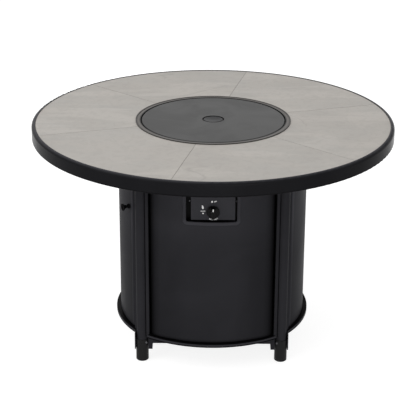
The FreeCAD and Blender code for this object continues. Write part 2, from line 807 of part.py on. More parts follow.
def make_mixer():
    """Tube from the gas pipe to the burner's hub, with two air windows and a
    collar under the pan's floor."""
    bottom = pan_under - S.mixer_length
    pipe_hole = S.pipe_radius + S.mixer_play
    inside = S.mixer_radius - S.burner_wall
    collar = S.mixer_radius + 5
    collar_foot = pan_under - 4
    floor = bottom + 4
    window_half = 4
    mixer = turned("air_mixer", [
        (pipe_hole, bottom),
        (S.mixer_radius, bottom),
        (S.mixer_radius, collar_foot),
        (collar, collar_foot),
        (collar, pan_under),
        (S.mixer_radius, pan_under),
        (S.mixer_radius, burner_level - S.burner_tube),
        (inside, burner_level - S.burner_tube),
        (inside, floor),
        (pipe_hole, floor)])
    window = new_sketch(mixer, "XZ_Plane")
    draw_loop(window, rectangle(-window_half, window_half, floor + 2, collar_foot - 2))
    pocket(mixer, window, midplane=True)


def make_heat_shield():
    """Shallow steel dish on four spacers under the pan."""
    level = pan_under - S.shield_drop
    edge = pan_wall_foot - S.shield_inset
    hole = S.mixer_radius + 8
    spacer_radius = 5
    dish = turned("shield_dish", [
        (hole, level - S.shield_sheet),
        (edge - S.shield_sheet, level - S.shield_sheet),
        (edge - S.shield_sheet, level - S.shield_lip),
        (edge, level - S.shield_lip),
        (edge, level),
        (hole, level)], piece=False)
    far = S.spacer_place
    spacers = [rod(spacer_radius, S.shield_drop, x, y, level)
               for x, y in ((far, 0), (0, far), (-far, 0), (0, -far))]
    finished(joined("heat_shield", dish, *spacers))


def bowed(reach, bow):
    """Corners of the base's outline: four bowed sides that meet on the diagonals."""
    centre = bow - reach
    corner = (root(2 * bow * bow - centre * centre) - centre) / 2
    corners = [(-corner, -corner), (corner, -corner), (corner, corner), (-corner, corner)]
    return corners, {side: (bow, 1) for side in range(4)}


def base_outline(inset=0.0):
    """Corners and arcs of the base plate and the upper ring, or of a loop inside it."""
    return bowed(drum_reach + S.base_proud - inset,
                 panel_bow + S.base_proud - S.base_curl - inset)


def leg_notch():
    """T-shaped clearance for a leg's tube and fins, as a loop in the XY plane for
    the leg between +X and -Y."""
    place_r = S.leg_place * math.sqrt(2)
    tube = S.leg_radius + S.notch_play
    fin = fin_reach + S.notch_play
    thin = S.fin_sheet / 2 + S.notch_play
    far = place_r + 60
    along = [(place_r - tube, -tube), (place_r - thin, -tube), (place_r - thin, -fin),
             (far, -fin), (far, fin), (place_r - thin, fin), (place_r - thin, tube),
             (place_r - tube, tube)]
    share = math.sqrt(0.5)
    return [((out + side) * share, (side - out) * share) for out, side in along]


def hinge_spot():
    """Door hinge in the door's own frame, where the door faces -Y."""
    radius = panel_bow - S.hinge_inset
    return (-hinge_side, bow_centre - root(radius * radius - hinge_side * hinge_side))


def make_base_plate():
    """Tray with a turned-down edge, notched for the legs, with vent slots, screw
    holes under the fixed panels and a hole for the door's lower pin."""
    plate = new_body("base_plate")
    outline = new_sketch(plate, "XY_Plane", base_bottom)
    corners, arcs = base_outline()
    draw_loop(outline, corners, arcs)
    pad(plate, outline, S.base_lip)
    round_edges(plate, 1.5, lambda edge: isinstance(edge.Curve, Part.Circle)
                and abs(edge.BoundBox.ZMin - S.base_top.value) < 1e-4)
    hollow = new_sketch(plate, "XY_Plane", base_bottom)
    corners, arcs = base_outline(S.base_sheet)
    draw_loop(hollow, corners, arcs)
    pocket(plate, hollow, S.base_lip - S.base_sheet, back=True)
    notch = new_sketch(plate, "XY_Plane", base_bottom)
    draw_loop(notch, leg_notch())
    around(plate, pocket(plate, notch, S.base_lip, back=True), 4)
    vent = new_sketch(plate, "XY_Plane", base_bottom)
    draw_loop(vent, rectangle(140, 160, -45, 45))
    around(plate, pocket(plate, vent, S.base_lip, back=True), 4)
    holes = new_sketch(plate, "XY_Plane", base_bottom)
    draw_fixing_holes(holes)
    pocket(plate, holes, S.base_lip, back=True)


def fixing_spots():
    """Places of the screws through the level flanges of the three fixed panels."""
    side = S.panel_screw_side
    radius = panel_bow - S.panel_screw_inset
    out = root(radius * radius - side * side) - bow_centre
    return [(-side, -out), (side, -out), (out, -side), (out, side), (side, out), (-side, out)]


def draw_fixing_holes(sketch):
    for x, y in fixing_spots():
        draw_circle(sketch, x, y, S.screw_shank + S.screw_play)
    hinge_x, hinge_y = hinge_spot()
    draw_circle(sketch, hinge_y, -hinge_x, S.hinge_pin + S.hinge_play)


def make_upper_ring():
    ring = new_body("upper_ring")
    outline = new_sketch(ring, "XY_Plane", upper_ring_bottom)
    corners, arcs = base_outline()
    draw_loop(outline, corners, arcs)
    draw_circle(outline, 0, 0, frame_ring)
    pad(ring, outline, S.ring_sheet)
    holes = new_sketch(ring, "XY_Plane", upper_ring_bottom)
    draw_fixing_holes(holes)
    for sx, sy in LEG_SIGNS.values():
        draw_circle(holes, sx * S.leg_place, sy * S.leg_place, S.bolt_radius + S.screw_play)
    pocket(ring, holes, S.ring_sheet, back=True)


def panel_form(name, bottom, top, inset):
    """Solid with a panel's outside shape, moved in by an inset on every side but
    the back. The panel faces -Y."""
    form = new_body(name, piece=False)
    sketch = new_sketch(form, "XY_Plane", bottom + inset)
    bow = panel_bow - inset
    side = panel_side - inset
    back = panel_bow - S.panel_return - 4 * inset

    def line_y(radius):
        return bow_centre - root(radius * radius - side * side)

    draw_loop(sketch, [(-side, line_y(bow)), (side, line_y(bow)),
                       (side, line_y(back)), (-side, line_y(back))],
              {0: (bow, 1), 2: (back, -1)})
    pad(form, sketch, top - bottom - 2 * inset)
    reach = value(bow)

    def distance(point):
        return math.hypot(point.x, point.y - bow_centre.value)

    def upright_front(edge):
        ends = [vertex.Point for vertex in edge.Vertexes]
        upright = len(ends) == 2 and abs(ends[0].z - ends[1].z) > 50
        return upright and abs(distance(ends[0]) - reach) < 0.01

    def level_front(edge):
        if not isinstance(edge.Curve, Part.Circle) or abs(edge.Curve.Radius - reach) > 0.01:
            return False
        return edge.BoundBox.ZLength < 0.01

    round_edges(form, S.panel_roll - inset, upright_front)
    round_edges(form, S.panel_fold - inset, level_front)
    return form


def panel_sheet(name, bottom, top):
    """Panel as a sheet pan: rounded face and folded edges, open behind."""
    outside = panel_form(f"{name}_outside", bottom, top, Size(0.0, "0"))
    inside = panel_form(f"{name}_inside", bottom, top, S.panel_sheet)
    return cut(f"{name}_sheet", outside, inside)


def flange_holes():
    """Rods that drill a fixed panel's level flanges, in the panel's own frame."""
    side = S.panel_screw_side
    radius = panel_bow - S.panel_screw_inset
    out = root(radius * radius - side * side) - bow_centre
    return [rod(S.screw_shank + S.screw_play, S.table_height, x, -out, 0) for x in (-side, side)]


def make_panels():
    """Front panel with the control opening in its pressed border, and the plain
    right and rear ones."""
    left = opening_left
    right = opening_right
    band = S.bezel_width
    border = new_body("border_form", piece=False)
    sketch = new_sketch(border, "XZ_Plane", drum_reach - 40)
    corners, arcs = rounded(left - band, right + band, opening_bottom - band,
                            opening_top + band, S.opening_round + band)
    draw_loop(sketch, corners, arcs)
    pad(border, sketch, 80)
    face = panel_bow + S.bezel_proud
    skin = cut("border_skin", rod(face, S.table_height, 0, bow_centre, 0),
               rod(panel_bow - S.panel_sheet, S.table_height, 0, bow_centre, 0))
    opening = new_body("opening_form", piece=False)
    sketch = new_sketch(opening, "XZ_Plane", drum_reach - 40)
    corners, arcs = rounded(left, right, opening_bottom, opening_top, S.opening_round)
    draw_loop(sketch, corners, arcs)
    pad(opening, sketch, 80)
    band_ring = cut("border_ring", common("border_band", border, skin), opening)

    def on_front(edge):
        return all(abs(math.hypot(spot.x, spot.y - bow_centre.value) - face.value) < 0.01
                   for spot in (vertex.Point for vertex in edge.Vertexes))

    def at_hole(edge):
        room = edge.BoundBox
        return (room.XMin > left.value - 0.01 and room.XMax < right.value + 0.01
                and room.ZMin > opening_bottom.value - 0.01
                and room.ZMax < opening_top.value + 0.01)

    bead = softened("border_bead", band_ring, [
        (S.bezel_roll, lambda edge: on_front(edge) and at_hole(edge)),
        (S.bezel_round, lambda edge: on_front(edge) and not at_hole(edge))])
    tools = joined("front_tools", opening, *flange_holes())
    pierced = cut("front_pierced", panel_sheet("front", S.base_top, upper_ring_bottom), tools)
    finished(joined("front_panel", pierced, bead))
    for label, turn in (("right_panel", 90), ("rear_panel", 180)):
        panel = drilled(label, panel_sheet(label, S.base_top, upper_ring_bottom), flange_holes())
        place(panel, turn=turn)


def make_door():
    """Door like the panels, hung on two pins at its rear edge. A collar on each
    pin keeps the door clear of the base plate and the upper ring."""
    bottom = S.base_top + S.door_gap
    top = upper_ring_bottom - S.door_gap
    hinge_x, hinge_y = hinge_spot()
    pin_hole = rod(S.hinge_pin, S.table_height, hinge_x, hinge_y, 0)
    through = 30
    knob_hole = primitive("Cylinder", Radius=S.knob_screw + S.screw_play, Height=2 * through)
    knob_hole.Placement = knob_axis(through)
    door = drilled("door", panel_sheet("door", bottom, top), [pin_hole, knob_hole])
    place(door, turn=-90)
    shapes = []
    x = hinge_y.value
    y = -hinge_x.value
    thick = S.door_gap.value - 0.1
    collar_width = 2.5
    grip = 14
    for low, high, collar in ((base_bottom + 1, bottom + grip, bottom - thick),
                              (top - grip, frame_bottom - 0.5, top)):
        pin = Part.makeCylinder(S.hinge_pin.value, high.value - low.value,
                                FreeCAD.Vector(x, y, low.value))
        disc = Part.makeCylinder(S.hinge_pin.value + collar_width, thick,
                                 FreeCAD.Vector(x, y, collar.value))
        shapes.append(pin.fuse(disc))
    group("hinge_pins", shapes)


def door_knob_spot():
    """Foot of the door knob in the door's own frame, where the door faces -Y."""
    x = panel_side - S.door_knob_inset
    return (x, bow_centre - root(panel_bow * panel_bow - x * x))


def knob_axis(back):
    """Placement on the door knob's axis in the door's own frame, set back from
    the door's face, with +Z pointing out."""
    x, y = door_knob_spot()
    out = FreeCAD.Vector(value(x), value(y - bow_centre), 0).normalize()
    foot = FreeCAD.Vector(value(x), value(y), door_knob_height.value)
    return FreeCAD.Placement(foot - out * back, FreeCAD.Rotation(FreeCAD.Vector(0, 0, 1), out))


def make_door_knob():
    """Turned knob: round base, thin neck and a flared head with a dished face. A
    screw through the door holds it."""
    reach = S.door_knob_reach
    head = S.door_knob_head
    bore = S.knob_screw + S.screw_play
    depth = 8
    knob = turned("door_knob", [
        (0, depth),
        (bore, depth),
        (bore, 0),
        (6, 0),
        (7.6, 3),
        (6.4, 6),
        (4.2, 8.5),
        (4, 11),
        (6, reach - 7),
        (head, reach - 2),
        (head, reach),
        (head - 1.6, reach),
        (0, reach - 2)])
    turn = FreeCAD.Placement(FreeCAD.Vector(), FreeCAD.Rotation(FreeCAD.Vector(0, 0, 1), -90))
    knob.Placement = turn * knob_axis(0)
    behind = S.panel_sheet.value + 0.1
    screw = pan_screw(S.knob_screw + 2.6, S.screw_head_height, S.knob_screw,
                      behind + depth - 0.6)
    screw.rotate(FreeCAD.Vector(), FreeCAD.Vector(1, 0, 0), 180)
    screw.translate(FreeCAD.Vector(0, 0, -behind))
    thing = group("door_knob_screw", [screw])
    thing.Placement = knob.Placement


def make_door_catch():
    """Magnet catch between the front-left leg's fin and the door's folded side."""
    share = math.sqrt(0.5)
    place_v = S.leg_place.value
    back = S.fin_sheet.value / 2 + 0.2

    def on_fin(out):
        """Point behind the fin, this far from the leg's axis along the fin."""
        return (-place_v + (back - out) * share, -place_v + (back + out) * share)

    side = -panel_side.value - S.catch_gap.value
    inset = 2
    tall = 40
    near = on_fin(fin_reach.value - inset)
    far = on_fin(S.leg_radius.value + inset)
    outline = [near, far, (far[0] + 6, side), (near[0] + inset, side)]
    wire = Part.makePolygon([FreeCAD.Vector(x, y, 0) for x, y in outline + outline[:1]])
    solid = Part.Face(wire).extrude(FreeCAD.Vector(0, 0, tall))
    solid.translate(FreeCAD.Vector(0, 0, door_knob_height.value - tall / 2))
    group("door_catch", [solid])


def make_legs():
    """Tube with two fins and a threaded plug at its top. In its own frame the leg
    stands on the origin with +X pointing away from the table's centre, and the
    fins lie along Y."""
    for name, (sx, sy) in LEG_SIGNS.items():
        leg = new_body(f"leg_{name}_tube", piece=False)
        ring = new_sketch(leg, "XY_Plane", S.foot_floor + S.leg_lift)
        draw_circle(ring, 0, 0, S.leg_radius)
        draw_circle(ring, 0, 0, S.leg_radius - S.leg_wall)
        pad(leg, ring, upper_ring_bottom - S.foot_floor - S.leg_lift)
        plug = new_sketch(leg, "XY_Plane", upper_ring_bottom - S.plug_height)
        draw_circle(plug, 0, 0, S.leg_radius - S.leg_wall / 2)
        draw_circle(plug, 0, 0, S.bolt_radius + 0.05)
        pad(leg, plug, S.plug_height)
        half = S.fin_sheet / 2
        root_side = S.leg_radius - S.leg_wall / 2
        for low, high in ((-fin_reach, -root_side), (root_side, fin_reach)):
            fin = new_sketch(leg, "XY_Plane", S.fin_bottom)
            draw_loop(fin, rectangle(-half, half, low, high))
            pad(leg, fin, upper_ring_bottom - S.fin_bottom)
        place(leg, sx * S.leg_place, sy * S.leg_place, 0, math.degrees(math.atan2(sy, sx)))
        bolt_hole = rod(S.socket_bolt_shank + S.screw_play, S.leg_radius, sx * S.leg_place,
                        sy * S.leg_place - (S.leg_radius if sy > 0 else 0),
                        S.socket_bolt_height, TOWARD_BACK)
        screw_hole = foot_screw_rod(sx, sy)
        drilled(f"leg_{name}", leg, [bolt_hole, screw_hole])

        chamfer = 2
        bevel = 1
        inside = S.leg_radius + S.foot_play
        foot = turned(f"foot_{name}_cap", [
            (0, 0),
            (foot_radius - chamfer, 0),
            (foot_radius, chamfer),
            (foot_radius, S.foot_height - bevel),
            (foot_radius - bevel, S.foot_height),
            (inside, S.foot_height),
            (inside, S.foot_floor),
            (0, S.foot_floor)], piece=False)
        place(foot, sx * S.leg_place, sy * S.leg_place)
        drilled(f"foot_{name}", foot, [foot_screw_rod(sx, sy)])


def foot_screw_way(sx, sy):
    """Direction that a foot's screw faces: along the fin, towards the middle of
    the table's front or back."""
    share = math.sqrt(0.5)
    return FreeCAD.Vector(-sx * share, sy * share, 0)


def foot_screw_rod(sx, sy):
    thing = primitive("Cylinder", Radius=S.screw_shank + S.screw_play, Height=foot_radius + 5)
    thing.Placement = FreeCAD.Placement(
        FreeCAD.Vector(value(sx * S.leg_place), value(sy * S.leg_place),
                       S.foot_screw_height.value),
        FreeCAD.Rotation(FreeCAD.Vector(0, 0, 1), foot_screw_way(sx, sy)))
    return thing


def make_sockets():
    """Channel round each foot that joins the leg to the two rails. Its inner cheek is
    folded toward the foot in front. A bolt goes through its web into the leg, and its
    outer corner is cut back for the fin."""
    sheet_t = S.socket_sheet
    web = socket_web
    outer = S.leg_place + foot_radius + S.socket_outer
    inner = S.leg_place - socket_inner
    reach = S.leg_place + S.rail_width / 2
    lip = S.leg_place - foot_radius
    for name, (sx, sy) in LEG_SIGNS.items():
        socket = new_body(f"socket_{name}_channel", piece=False)
        sketch = new_sketch(socket, "XY_Plane", base_under - S.socket_height)
        loop = [(outer, reach), (outer, web - sheet_t), (inner, web - sheet_t), (inner, reach),
                (lip, reach), (lip, reach - sheet_t), (inner + sheet_t, reach - sheet_t),
                (inner + sheet_t, web), (outer - sheet_t, web), (outer - sheet_t, reach)]
        draw_loop(sketch, [(sx * x, sy * y) for x, y in loop])
        pad(socket, sketch, S.socket_height)
        hole = rod(S.socket_bolt_shank + S.screw_play, 12, sx * S.leg_place, sy * web - 6,
                   S.socket_bolt_height, TOWARD_BACK)
        far = outer + 1
        near = web - sheet_t - 1
        notch = 10
        corner = box(far - notch if sx > 0 else -far, far if sx > 0 else notch - far,
                     near if sy > 0 else -near - notch, near + notch if sy > 0 else -near,
                     S.fin_bottom - 2, S.base_top)
        drilled(f"socket_{name}", socket, [hole, corner])


def make_rails():
    """Square tubes under the base plate, from socket to socket."""
    half = S.rail_width / 2
    wall = S.rail_wall
    low = base_under - S.rail_height
    cross = 2 * (S.leg_place - socket_inner)
    side = 2 * (socket_web - S.socket_sheet)
    for label, plane, sign, length in (("front_rail", "YZ_Plane", -1, cross),
                                       ("rear_rail", "YZ_Plane", 1, cross),
                                       ("left_rail", "XZ_Plane", -1, side),
                                       ("right_rail", "XZ_Plane", 1, side)):
        rail = new_body(label)
        sketch = new_sketch(rail, plane)
        middle = sign * S.leg_place
        draw_loop(sketch, rectangle(middle - half, middle + half, low, base_under))
        draw_loop(sketch, rectangle(middle - half + wall, middle + half - wall,
                                    low + wall, base_under - wall))
        pad(rail, sketch, length, midplane=True)


def make_tank_ring():
    """Ring of angle section on the base plate, open in the middle."""
    thick = 2
    brim = S.tank_ring_radius + 14
    outside = S.tank_ring_radius + thick
    turned("tank_ring", [
        (S.tank_ring_radius, S.base_top),
        (brim, S.base_top),
        (brim, S.base_top + thick),
        (outside, S.base_top + thick),
        (outside, S.base_top + S.tank_ring_height),
        (S.tank_ring_radius, S.base_top + S.tank_ring_height)])


def make_controls():
    """Control plate with folded sides and feet, in a box behind the opening. The
    box's front edges follow the panel's inside."""
    left = plate_left
    right = plate_right
    t = S.box_sheet
    overlap = 3
    wide = S.opening_width / 2 + overlap
    shift = -S.opening_shift
    low = opening_bottom - overlap
    high = opening_top + overlap
    back = plate_face + S.box_depth
    foot_y = plate_back + S.plate_fold

    plate = new_body("plate_form", piece=False)
    sketch = new_sketch(plate, "XY_Plane", plate_bottom)
    fold = S.fold_sheet
    draw_loop(sketch, [
        (left, plate_face), (right, plate_face), (right, foot_y - fold),
        (shift + wide - t - S.seat, foot_y - fold), (shift + wide - t - S.seat, foot_y),
        (right - fold, foot_y), (right - fold, plate_back), (left + fold, plate_back),
        (left + fold, foot_y), (shift - wide + t + S.seat, foot_y),
        (shift - wide + t + S.seat, foot_y - fold), (left, foot_y - fold)])
    pad(plate, sketch, plate_top - plate_bottom)
    screw_holes = [rod(S.screw_shank + S.screw_play, 12, x, foot_y - 6, z, TOWARD_BACK)
                   for x, z in plate_screw_spots()]
    drilled("control_plate", plate, screw_holes + [
        rod(S.neck_radius + 0.5, 12, S.knob_side, plate_face - 5, knob_height, TOWARD_BACK)])

    outer = box(shift - wide, shift + wide, -drum_reach, back, low, high)
    shell = cut("control_shell", common(
        "control_block", outer, rod(panel_bow - S.panel_sheet - 0.15, S.table_height,
                                    0, bow_centre, 0)),
        box(shift - wide + t, shift + wide - t, -drum_reach - 5, back - t, low + t, high - t))
    ears = [box(shift - wide + t / 2, left - 1, foot_y, foot_y + fold, low + t, high - t),
            box(right + 0.5, shift + wide - t / 2, foot_y, foot_y + fold, low + t, high - t)]
    whole = joined("control_shell_ears", shell, *ears)
    pipe_hole = rod(S.pipe_radius + 3, 20, S.knob_side, back - 10, pipe_level, TOWARD_BACK)
    inlet_hole = rod(S.nut_room, 20, S.knob_side, valve_middle, low - 10)
    tapped = [rod(S.screw_shank + S.screw_play, 12, x, foot_y - 6, z, TOWARD_BACK)
              for x, z in plate_screw_spots()]
    drilled("control_box", whole, [pipe_hole, inlet_hole] + tapped)


def plate_screw_spots():
    """Places of the screws that hold the control plate's feet to the box's ears."""
    left = plate_left - 4
    right = plate_right + 3.4
    low = plate_bottom + S.plate_screw_low
    high = plate_top - S.plate_screw_high
    return [(left, low), (left, high), (right, low), (right, high)]


def make_valve():
    """Brass valve behind the control plate: threaded neck, an outlet on top and a
    hose inlet below. Its plug turns in the body, and the stem slides in the plug
    when the knob is pressed."""
    x = S.knob_side
    y = valve_middle
    z = knob_height
    half = S.valve_width / 2
    play = 0.1
    neck_front = plate_face - 3.2
    hex_height = 6
    hex_top = z - half - 4
    outlet_height = 14
    pipe_seat = 5
    plug_passage = 3
    body = box(x - half, x + half, y - half, y + half, z - half, z + half)
    neck = rod(S.neck_radius, S.plate_sheet + 16.2, x, neck_front, z, TOWARD_BACK)
    flange = rod(9, S.valve_flange, x, plate_back, z, TOWARD_BACK)
    outlet = rod(S.pipe_radius + 2.5, outlet_height, x, y, z + half)
    inlet = rod(S.inlet_radius, S.inlet_length, x, y, z - half - S.inlet_length)
    flats = primitive("Prism", Polygon=6, Circumradius=S.inlet_radius + 4, Height=hex_height)
    move(flats, x, y, hex_top - hex_height)
    solid = joined("valve_solid", body, neck, flange, outlet, inlet, flats)
    plug_front = y - S.plug_length / 2
    bores = [rod(S.stem_radius + play, half + S.valve_flange + 2, x, neck_front - 0.8, z,
                 TOWARD_BACK),
             rod(S.plug_radius + play, S.plug_length + 2 * play, x, plug_front - play, z,
                 TOWARD_BACK),
             rod(S.inlet_bore, half + S.inlet_length + 1, x, y, z - half - S.inlet_length - 1),
             rod(plug_passage, half + outlet_height, x, y, z),
             rod(S.pipe_radius + 0.05, outlet_height - pipe_seat + 1, x, y, z + half + pipe_seat)]
    drilled("gas_valve", solid, bores)

    stem_reach = 8
    plug = rod(S.plug_radius, S.plug_length, x, plug_front, z, TOWARD_BACK)
    drilled("valve_plug", plug, [
        rod(S.stem_radius + play, stem_reach + S.knob_press + 1, x, plug_front, z, TOWARD_BACK),
        rod(plug_passage, 2 * S.plug_radius, x, y + 4, z - S.plug_radius)])

    flat_length = 8
    stem_front = knob_back - S.knob_skirt - 7.5
    stem = rod(S.stem_radius, plug_front + stem_reach - stem_front, x, stem_front, z, TOWARD_BACK)
    flat = box(x - 6, x + 6, stem_front - 1, stem_front + flat_length,
               z + 0.6 * S.stem_radius, z + 8)
    finished(cut("valve_stem", stem, flat))

    nut_height = 2.8
    nut = primitive("Prism", Polygon=6, Circumradius=10, Height=nut_height)
    move(nut, x, plate_face - nut_height, z, TOWARD_BACK)
    drilled("valve_nut", nut, [rod(S.neck_radius + 0.05, 8, x, plate_face - 5, z, TOWARD_BACK)])

    finished(joined("piezo_igniter",
                    rod(8, 42, x + half + 11, plate_back + 12, z, TOWARD_BACK),
                    box(x + half, x + half + 5, y - 6, y + 6, z - 5, z + 5)))


def make_control_knob():
    """Hollow skirt and a raised grip bar with round ends. It is made standing up
    in its own frame and then laid to face the front."""
    skirt = S.knob_skirt
    face = skirt - 1.5
    bevel = 2
    stem_room = 9.6
    rim = S.knob_radius - 2
    knob = turned("control_knob", [
        (0, face), (rim, face), (rim, 0), (S.knob_radius, 0), (S.knob_radius, skirt - bevel),
        (S.knob_radius - bevel, skirt), (0, skirt)])
    grip = new_sketch(knob, "XY_Plane", skirt - 0.5)
    half = S.grip_width / 2
    corners, arcs = rounded(-half, half, -rim, rim, half - 1)
    draw_loop(grip, corners, arcs)
    pad(knob, grip, S.knob_grip + 0.5)
    top = value(skirt + S.knob_grip)
    round_edges(knob, bevel, lambda edge: edge.BoundBox.ZMin > top - 0.01)
    bore = new_sketch(knob, "XY_Plane", face - 0.5)
    draw_circle(bore, 0, 0, S.stem_radius + 0.05)
    pocket(knob, bore, stem_room, back=True)
    knob.Placement = FreeCAD.Placement(
        FreeCAD.Vector(value(S.knob_side), value(knob_back), value(knob_height)),
        FreeCAD.Rotation(FreeCAD.Vector(1, 0, 0), 90))


def make_gas_pipe():
    """Rigid pipe from the valve's outlet up, across to the middle and up again
    into the mixer, with a round bend at each turn."""
    x = S.knob_side.value
    y = valve_middle.value
    start = FreeCAD.Vector(x, y, knob_height.value + S.valve_width.value / 2 + 5.2)
    first = FreeCAD.Vector(x, y, pipe_level.value)
    second = FreeCAD.Vector(0, 0, pipe_level.value)
    end = FreeCAD.Vector(0, 0, pan_under.value - S.mixer_length.value + 3.8)
    bend = S.pipe_bend.value
    edges = []
    route = [start, first, second, end]
    last = start
    for before, corner, after in zip(route, route[1:], route[2:]):
        way_in = (corner - before).normalize()
        way_out = (after - corner).normalize()
        turn = way_in.getAngle(way_out)
        setback = bend * math.tan(turn / 2)
        enter = corner - way_in * setback
        leave = corner + way_out * setback
        middle_way = (way_out - way_in).normalize()
        centre_gap = bend / math.cos(turn / 2)
        middle = corner + middle_way * (centre_gap - bend)
        edges.append(Part.LineSegment(last, enter).toShape())
        edges.append(Part.Arc(enter, middle, leave).toShape())
        last = leave
    edges.append(Part.LineSegment(last, end).toShape())
    path = Part.Wire(edges)
    section = Part.Wire([Part.Circle(start, FreeCAD.Vector(0, 0, 1), S.pipe_radius.value).toShape()])
    solid = path.makePipeShell([section], True, True)
    expected = math.pi * S.pipe_radius.value ** 2 * path.Length
    print("gas pipe volume over section times length", round(solid.Volume / expected, 4))
    group("gas_pipe", [solid])


def make_electrode():
    """Bracket on the pan's floor with the spark electrode and the flame sensor."""
    width = 44
    foot = 16
    thick = 1.5
    tall = 26
    front = S.burner_tube.value + 14 - S.burner_radius.value
    wall_y = front + foot - thick
    floor = pan_floor.value
    plate = Part.makeBox(width, foot, thick, FreeCAD.Vector(-width / 2, front, floor))
    wall = Part.makeBox(width, thick, tall, FreeCAD.Vector(-width / 2, wall_y, floor))
    group("electrode_bracket", [plate.fuse(wall)])
    for label, x, radius in (("spark_electrode", -12, 3.4), ("flame_sensor", 12, 2.6)):
        y = wall_y - radius - 0.2
        stick = Part.makeCylinder(radius, tall + 1, FreeCAD.Vector(x, y, floor + thick + 0.2))
        tip = Part.makeCylinder(1.1, 8, FreeCAD.Vector(x, y, floor + thick + tall + 1.2))
        group(label, [stick.fuse(tip)])


def make_screws():
    """Sets of like screws and bolts, one piece for each set."""
    small = pan_screw(S.screw_head, S.screw_head_height, S.screw_shank, 3.8)
    place_v = S.leg_place.value
    web = socket_web.value - S.socket_sheet.value
    foot_screws = []
    socket_bolts = []
    leg_bolts = []
    for sx, sy in LEG_SIGNS.values():
        way = foot_screw_way(sx, sy)
        spot = FreeCAD.Vector(sx * place_v, sy * place_v, S.foot_screw_height.value)
        foot_screws.append(aimed(small, spot + way * foot_radius.value, way))
        bolt = pan_screw(S.socket_bolt_head, 3.5, S.socket_bolt_shank, 10)
        socket_bolts.append(aimed(
            bolt, (sx * place_v, sy * web, S.socket_bolt_height), (0, -sy, 0)))
        head = Part.makeCylinder(S.leg_bolt_head.value, 5)
        shank = Part.makeCylinder(S.bolt_radius.value, 18).translated(FreeCAD.Vector(0, 0, -18))
        leg_bolts.append(aimed(head.fuse(shank), (
            sx * place_v, sy * place_v, frame_bottom + S.frame_wall), (0, 0, 1)))
    group("foot_screws", foot_screws)
    group("socket_bolts", socket_bolts)
    group("leg_bolts", leg_bolts)

    panel_screws = []
    for x, y in fixing_spots():
        panel_screws.append(aimed(small, (x, y, base_under), (0, 0, -1)))
        long = pan_screw(S.screw_head, S.screw_head_height, S.screw_shank,
                         S.ring_sheet.value + 4)
        panel_screws.append(aimed(long, (x, y, frame_bottom), (0, 0, 1)))
    group("panel_screws", panel_screws)

    foot_y = plate_back + S.plate_fold - S.fold_sheet
    plate_screws = []
    for x, z in plate_screw_spots():
        screw = pan_screw(S.plate_screw_head, 1.8, S.screw_shank, 4)
        plate_screws.append(aimed(screw, (x, foot_y, z), (0, -1, 0)))
    group("plate_screws", plate_screws)


make_top_rim()
make_tiles()
make_support_deck()
make_top_frame()
make_burner_pan()
make_lid()
make_lift_knob()
make_burner()
make_mixer()
make_heat_shield()
make_base_plate()
make_upper_ring()
make_panels()
make_door()
make_door_knob()
make_door_catch()
make_legs()
make_sockets()
make_rails()
make_tank_ring()
make_controls()
make_valve()
make_control_knob()
make_gas_pipe()
make_electrode()
make_screws()

doc.recompute()
for thing in doc.Objects:
    if "Invalid" in thing.State or "Error" in thing.State:
        raise ValueError(f"{thing.Name} failed: {thing.State}")
os.makedirs("parts", exist_ok=True)
for piece in pieces:
    if piece.Shape.isNull() or not piece.Shape.isValid() or not piece.Shape.Solids:
        raise ValueError(f"{piece.Label} has no valid shape")
    piece.Shape.exportStep(f"parts/{piece.Label}.step")
print(len(pieces), "pieces written")
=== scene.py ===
"""Looks of a round gas fire pit table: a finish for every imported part, the grout of its
tile top, the ends of its base plate's lip, the printed marks of its controls, and a pale
studio. Lengths are in metres."""

import json
import math

import bmesh
import bpy
import numpy as np
from mathutils import Matrix, Vector


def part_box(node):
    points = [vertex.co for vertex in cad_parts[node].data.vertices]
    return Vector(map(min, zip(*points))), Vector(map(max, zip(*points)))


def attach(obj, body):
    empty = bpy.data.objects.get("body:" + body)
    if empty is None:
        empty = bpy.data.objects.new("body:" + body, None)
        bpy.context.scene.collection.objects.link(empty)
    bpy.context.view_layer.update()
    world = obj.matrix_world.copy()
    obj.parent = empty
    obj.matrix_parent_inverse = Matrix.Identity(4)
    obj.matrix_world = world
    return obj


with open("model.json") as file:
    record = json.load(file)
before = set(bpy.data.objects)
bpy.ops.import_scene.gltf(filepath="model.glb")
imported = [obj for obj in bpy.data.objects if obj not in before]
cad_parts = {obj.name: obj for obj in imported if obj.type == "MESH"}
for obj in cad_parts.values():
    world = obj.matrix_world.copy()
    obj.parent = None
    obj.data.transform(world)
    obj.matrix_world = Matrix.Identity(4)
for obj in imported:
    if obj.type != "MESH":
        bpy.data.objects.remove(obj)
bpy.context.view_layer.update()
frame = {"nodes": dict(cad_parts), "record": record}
MM = 0.001

# Places of the CAD model that the painted light and shade follow: the bow of the front
# panel, round an upright line behind the table's middle, and the legs, as far aside as to
# front or back.
BOW_RADIUS = 340.1 * MM
BOW_CENTRE = 58.1 * MM
LEG_PLACE = 206.6 * MM

# The camera, fitted to the outlines of the rim, the lid, the legs and the panels.
# Pixels are those of the 416 x 416 photograph.
CAMERA_BACK = 3.8014
CAMERA_HEIGHT = 1.9278
CAMERA_TILT = math.radians(21.83)
CAMERA_ROLL = math.radians(0.42)
FOCAL_PIXELS = 1349.78
AXIS_PIXEL = 212.51
PICTURE_PIXELS = 416
SENSOR_WIDTH = 36.0


# Nodes

def add(tree, kind, inputs=None, **settings):
    """A shader node with its settings, and its inputs by name or number. Each input is a
    value or another node's socket."""
    node = tree.nodes.new("ShaderNode" + kind)
    for name, setting in settings.items():
        setattr(node, name, setting)
    for name, given in (inputs or {}).items():
        if isinstance(given, bpy.types.NodeSocket):
            tree.links.new(given, node.inputs[name])
        else:
            node.inputs[name].default_value = given
    return node


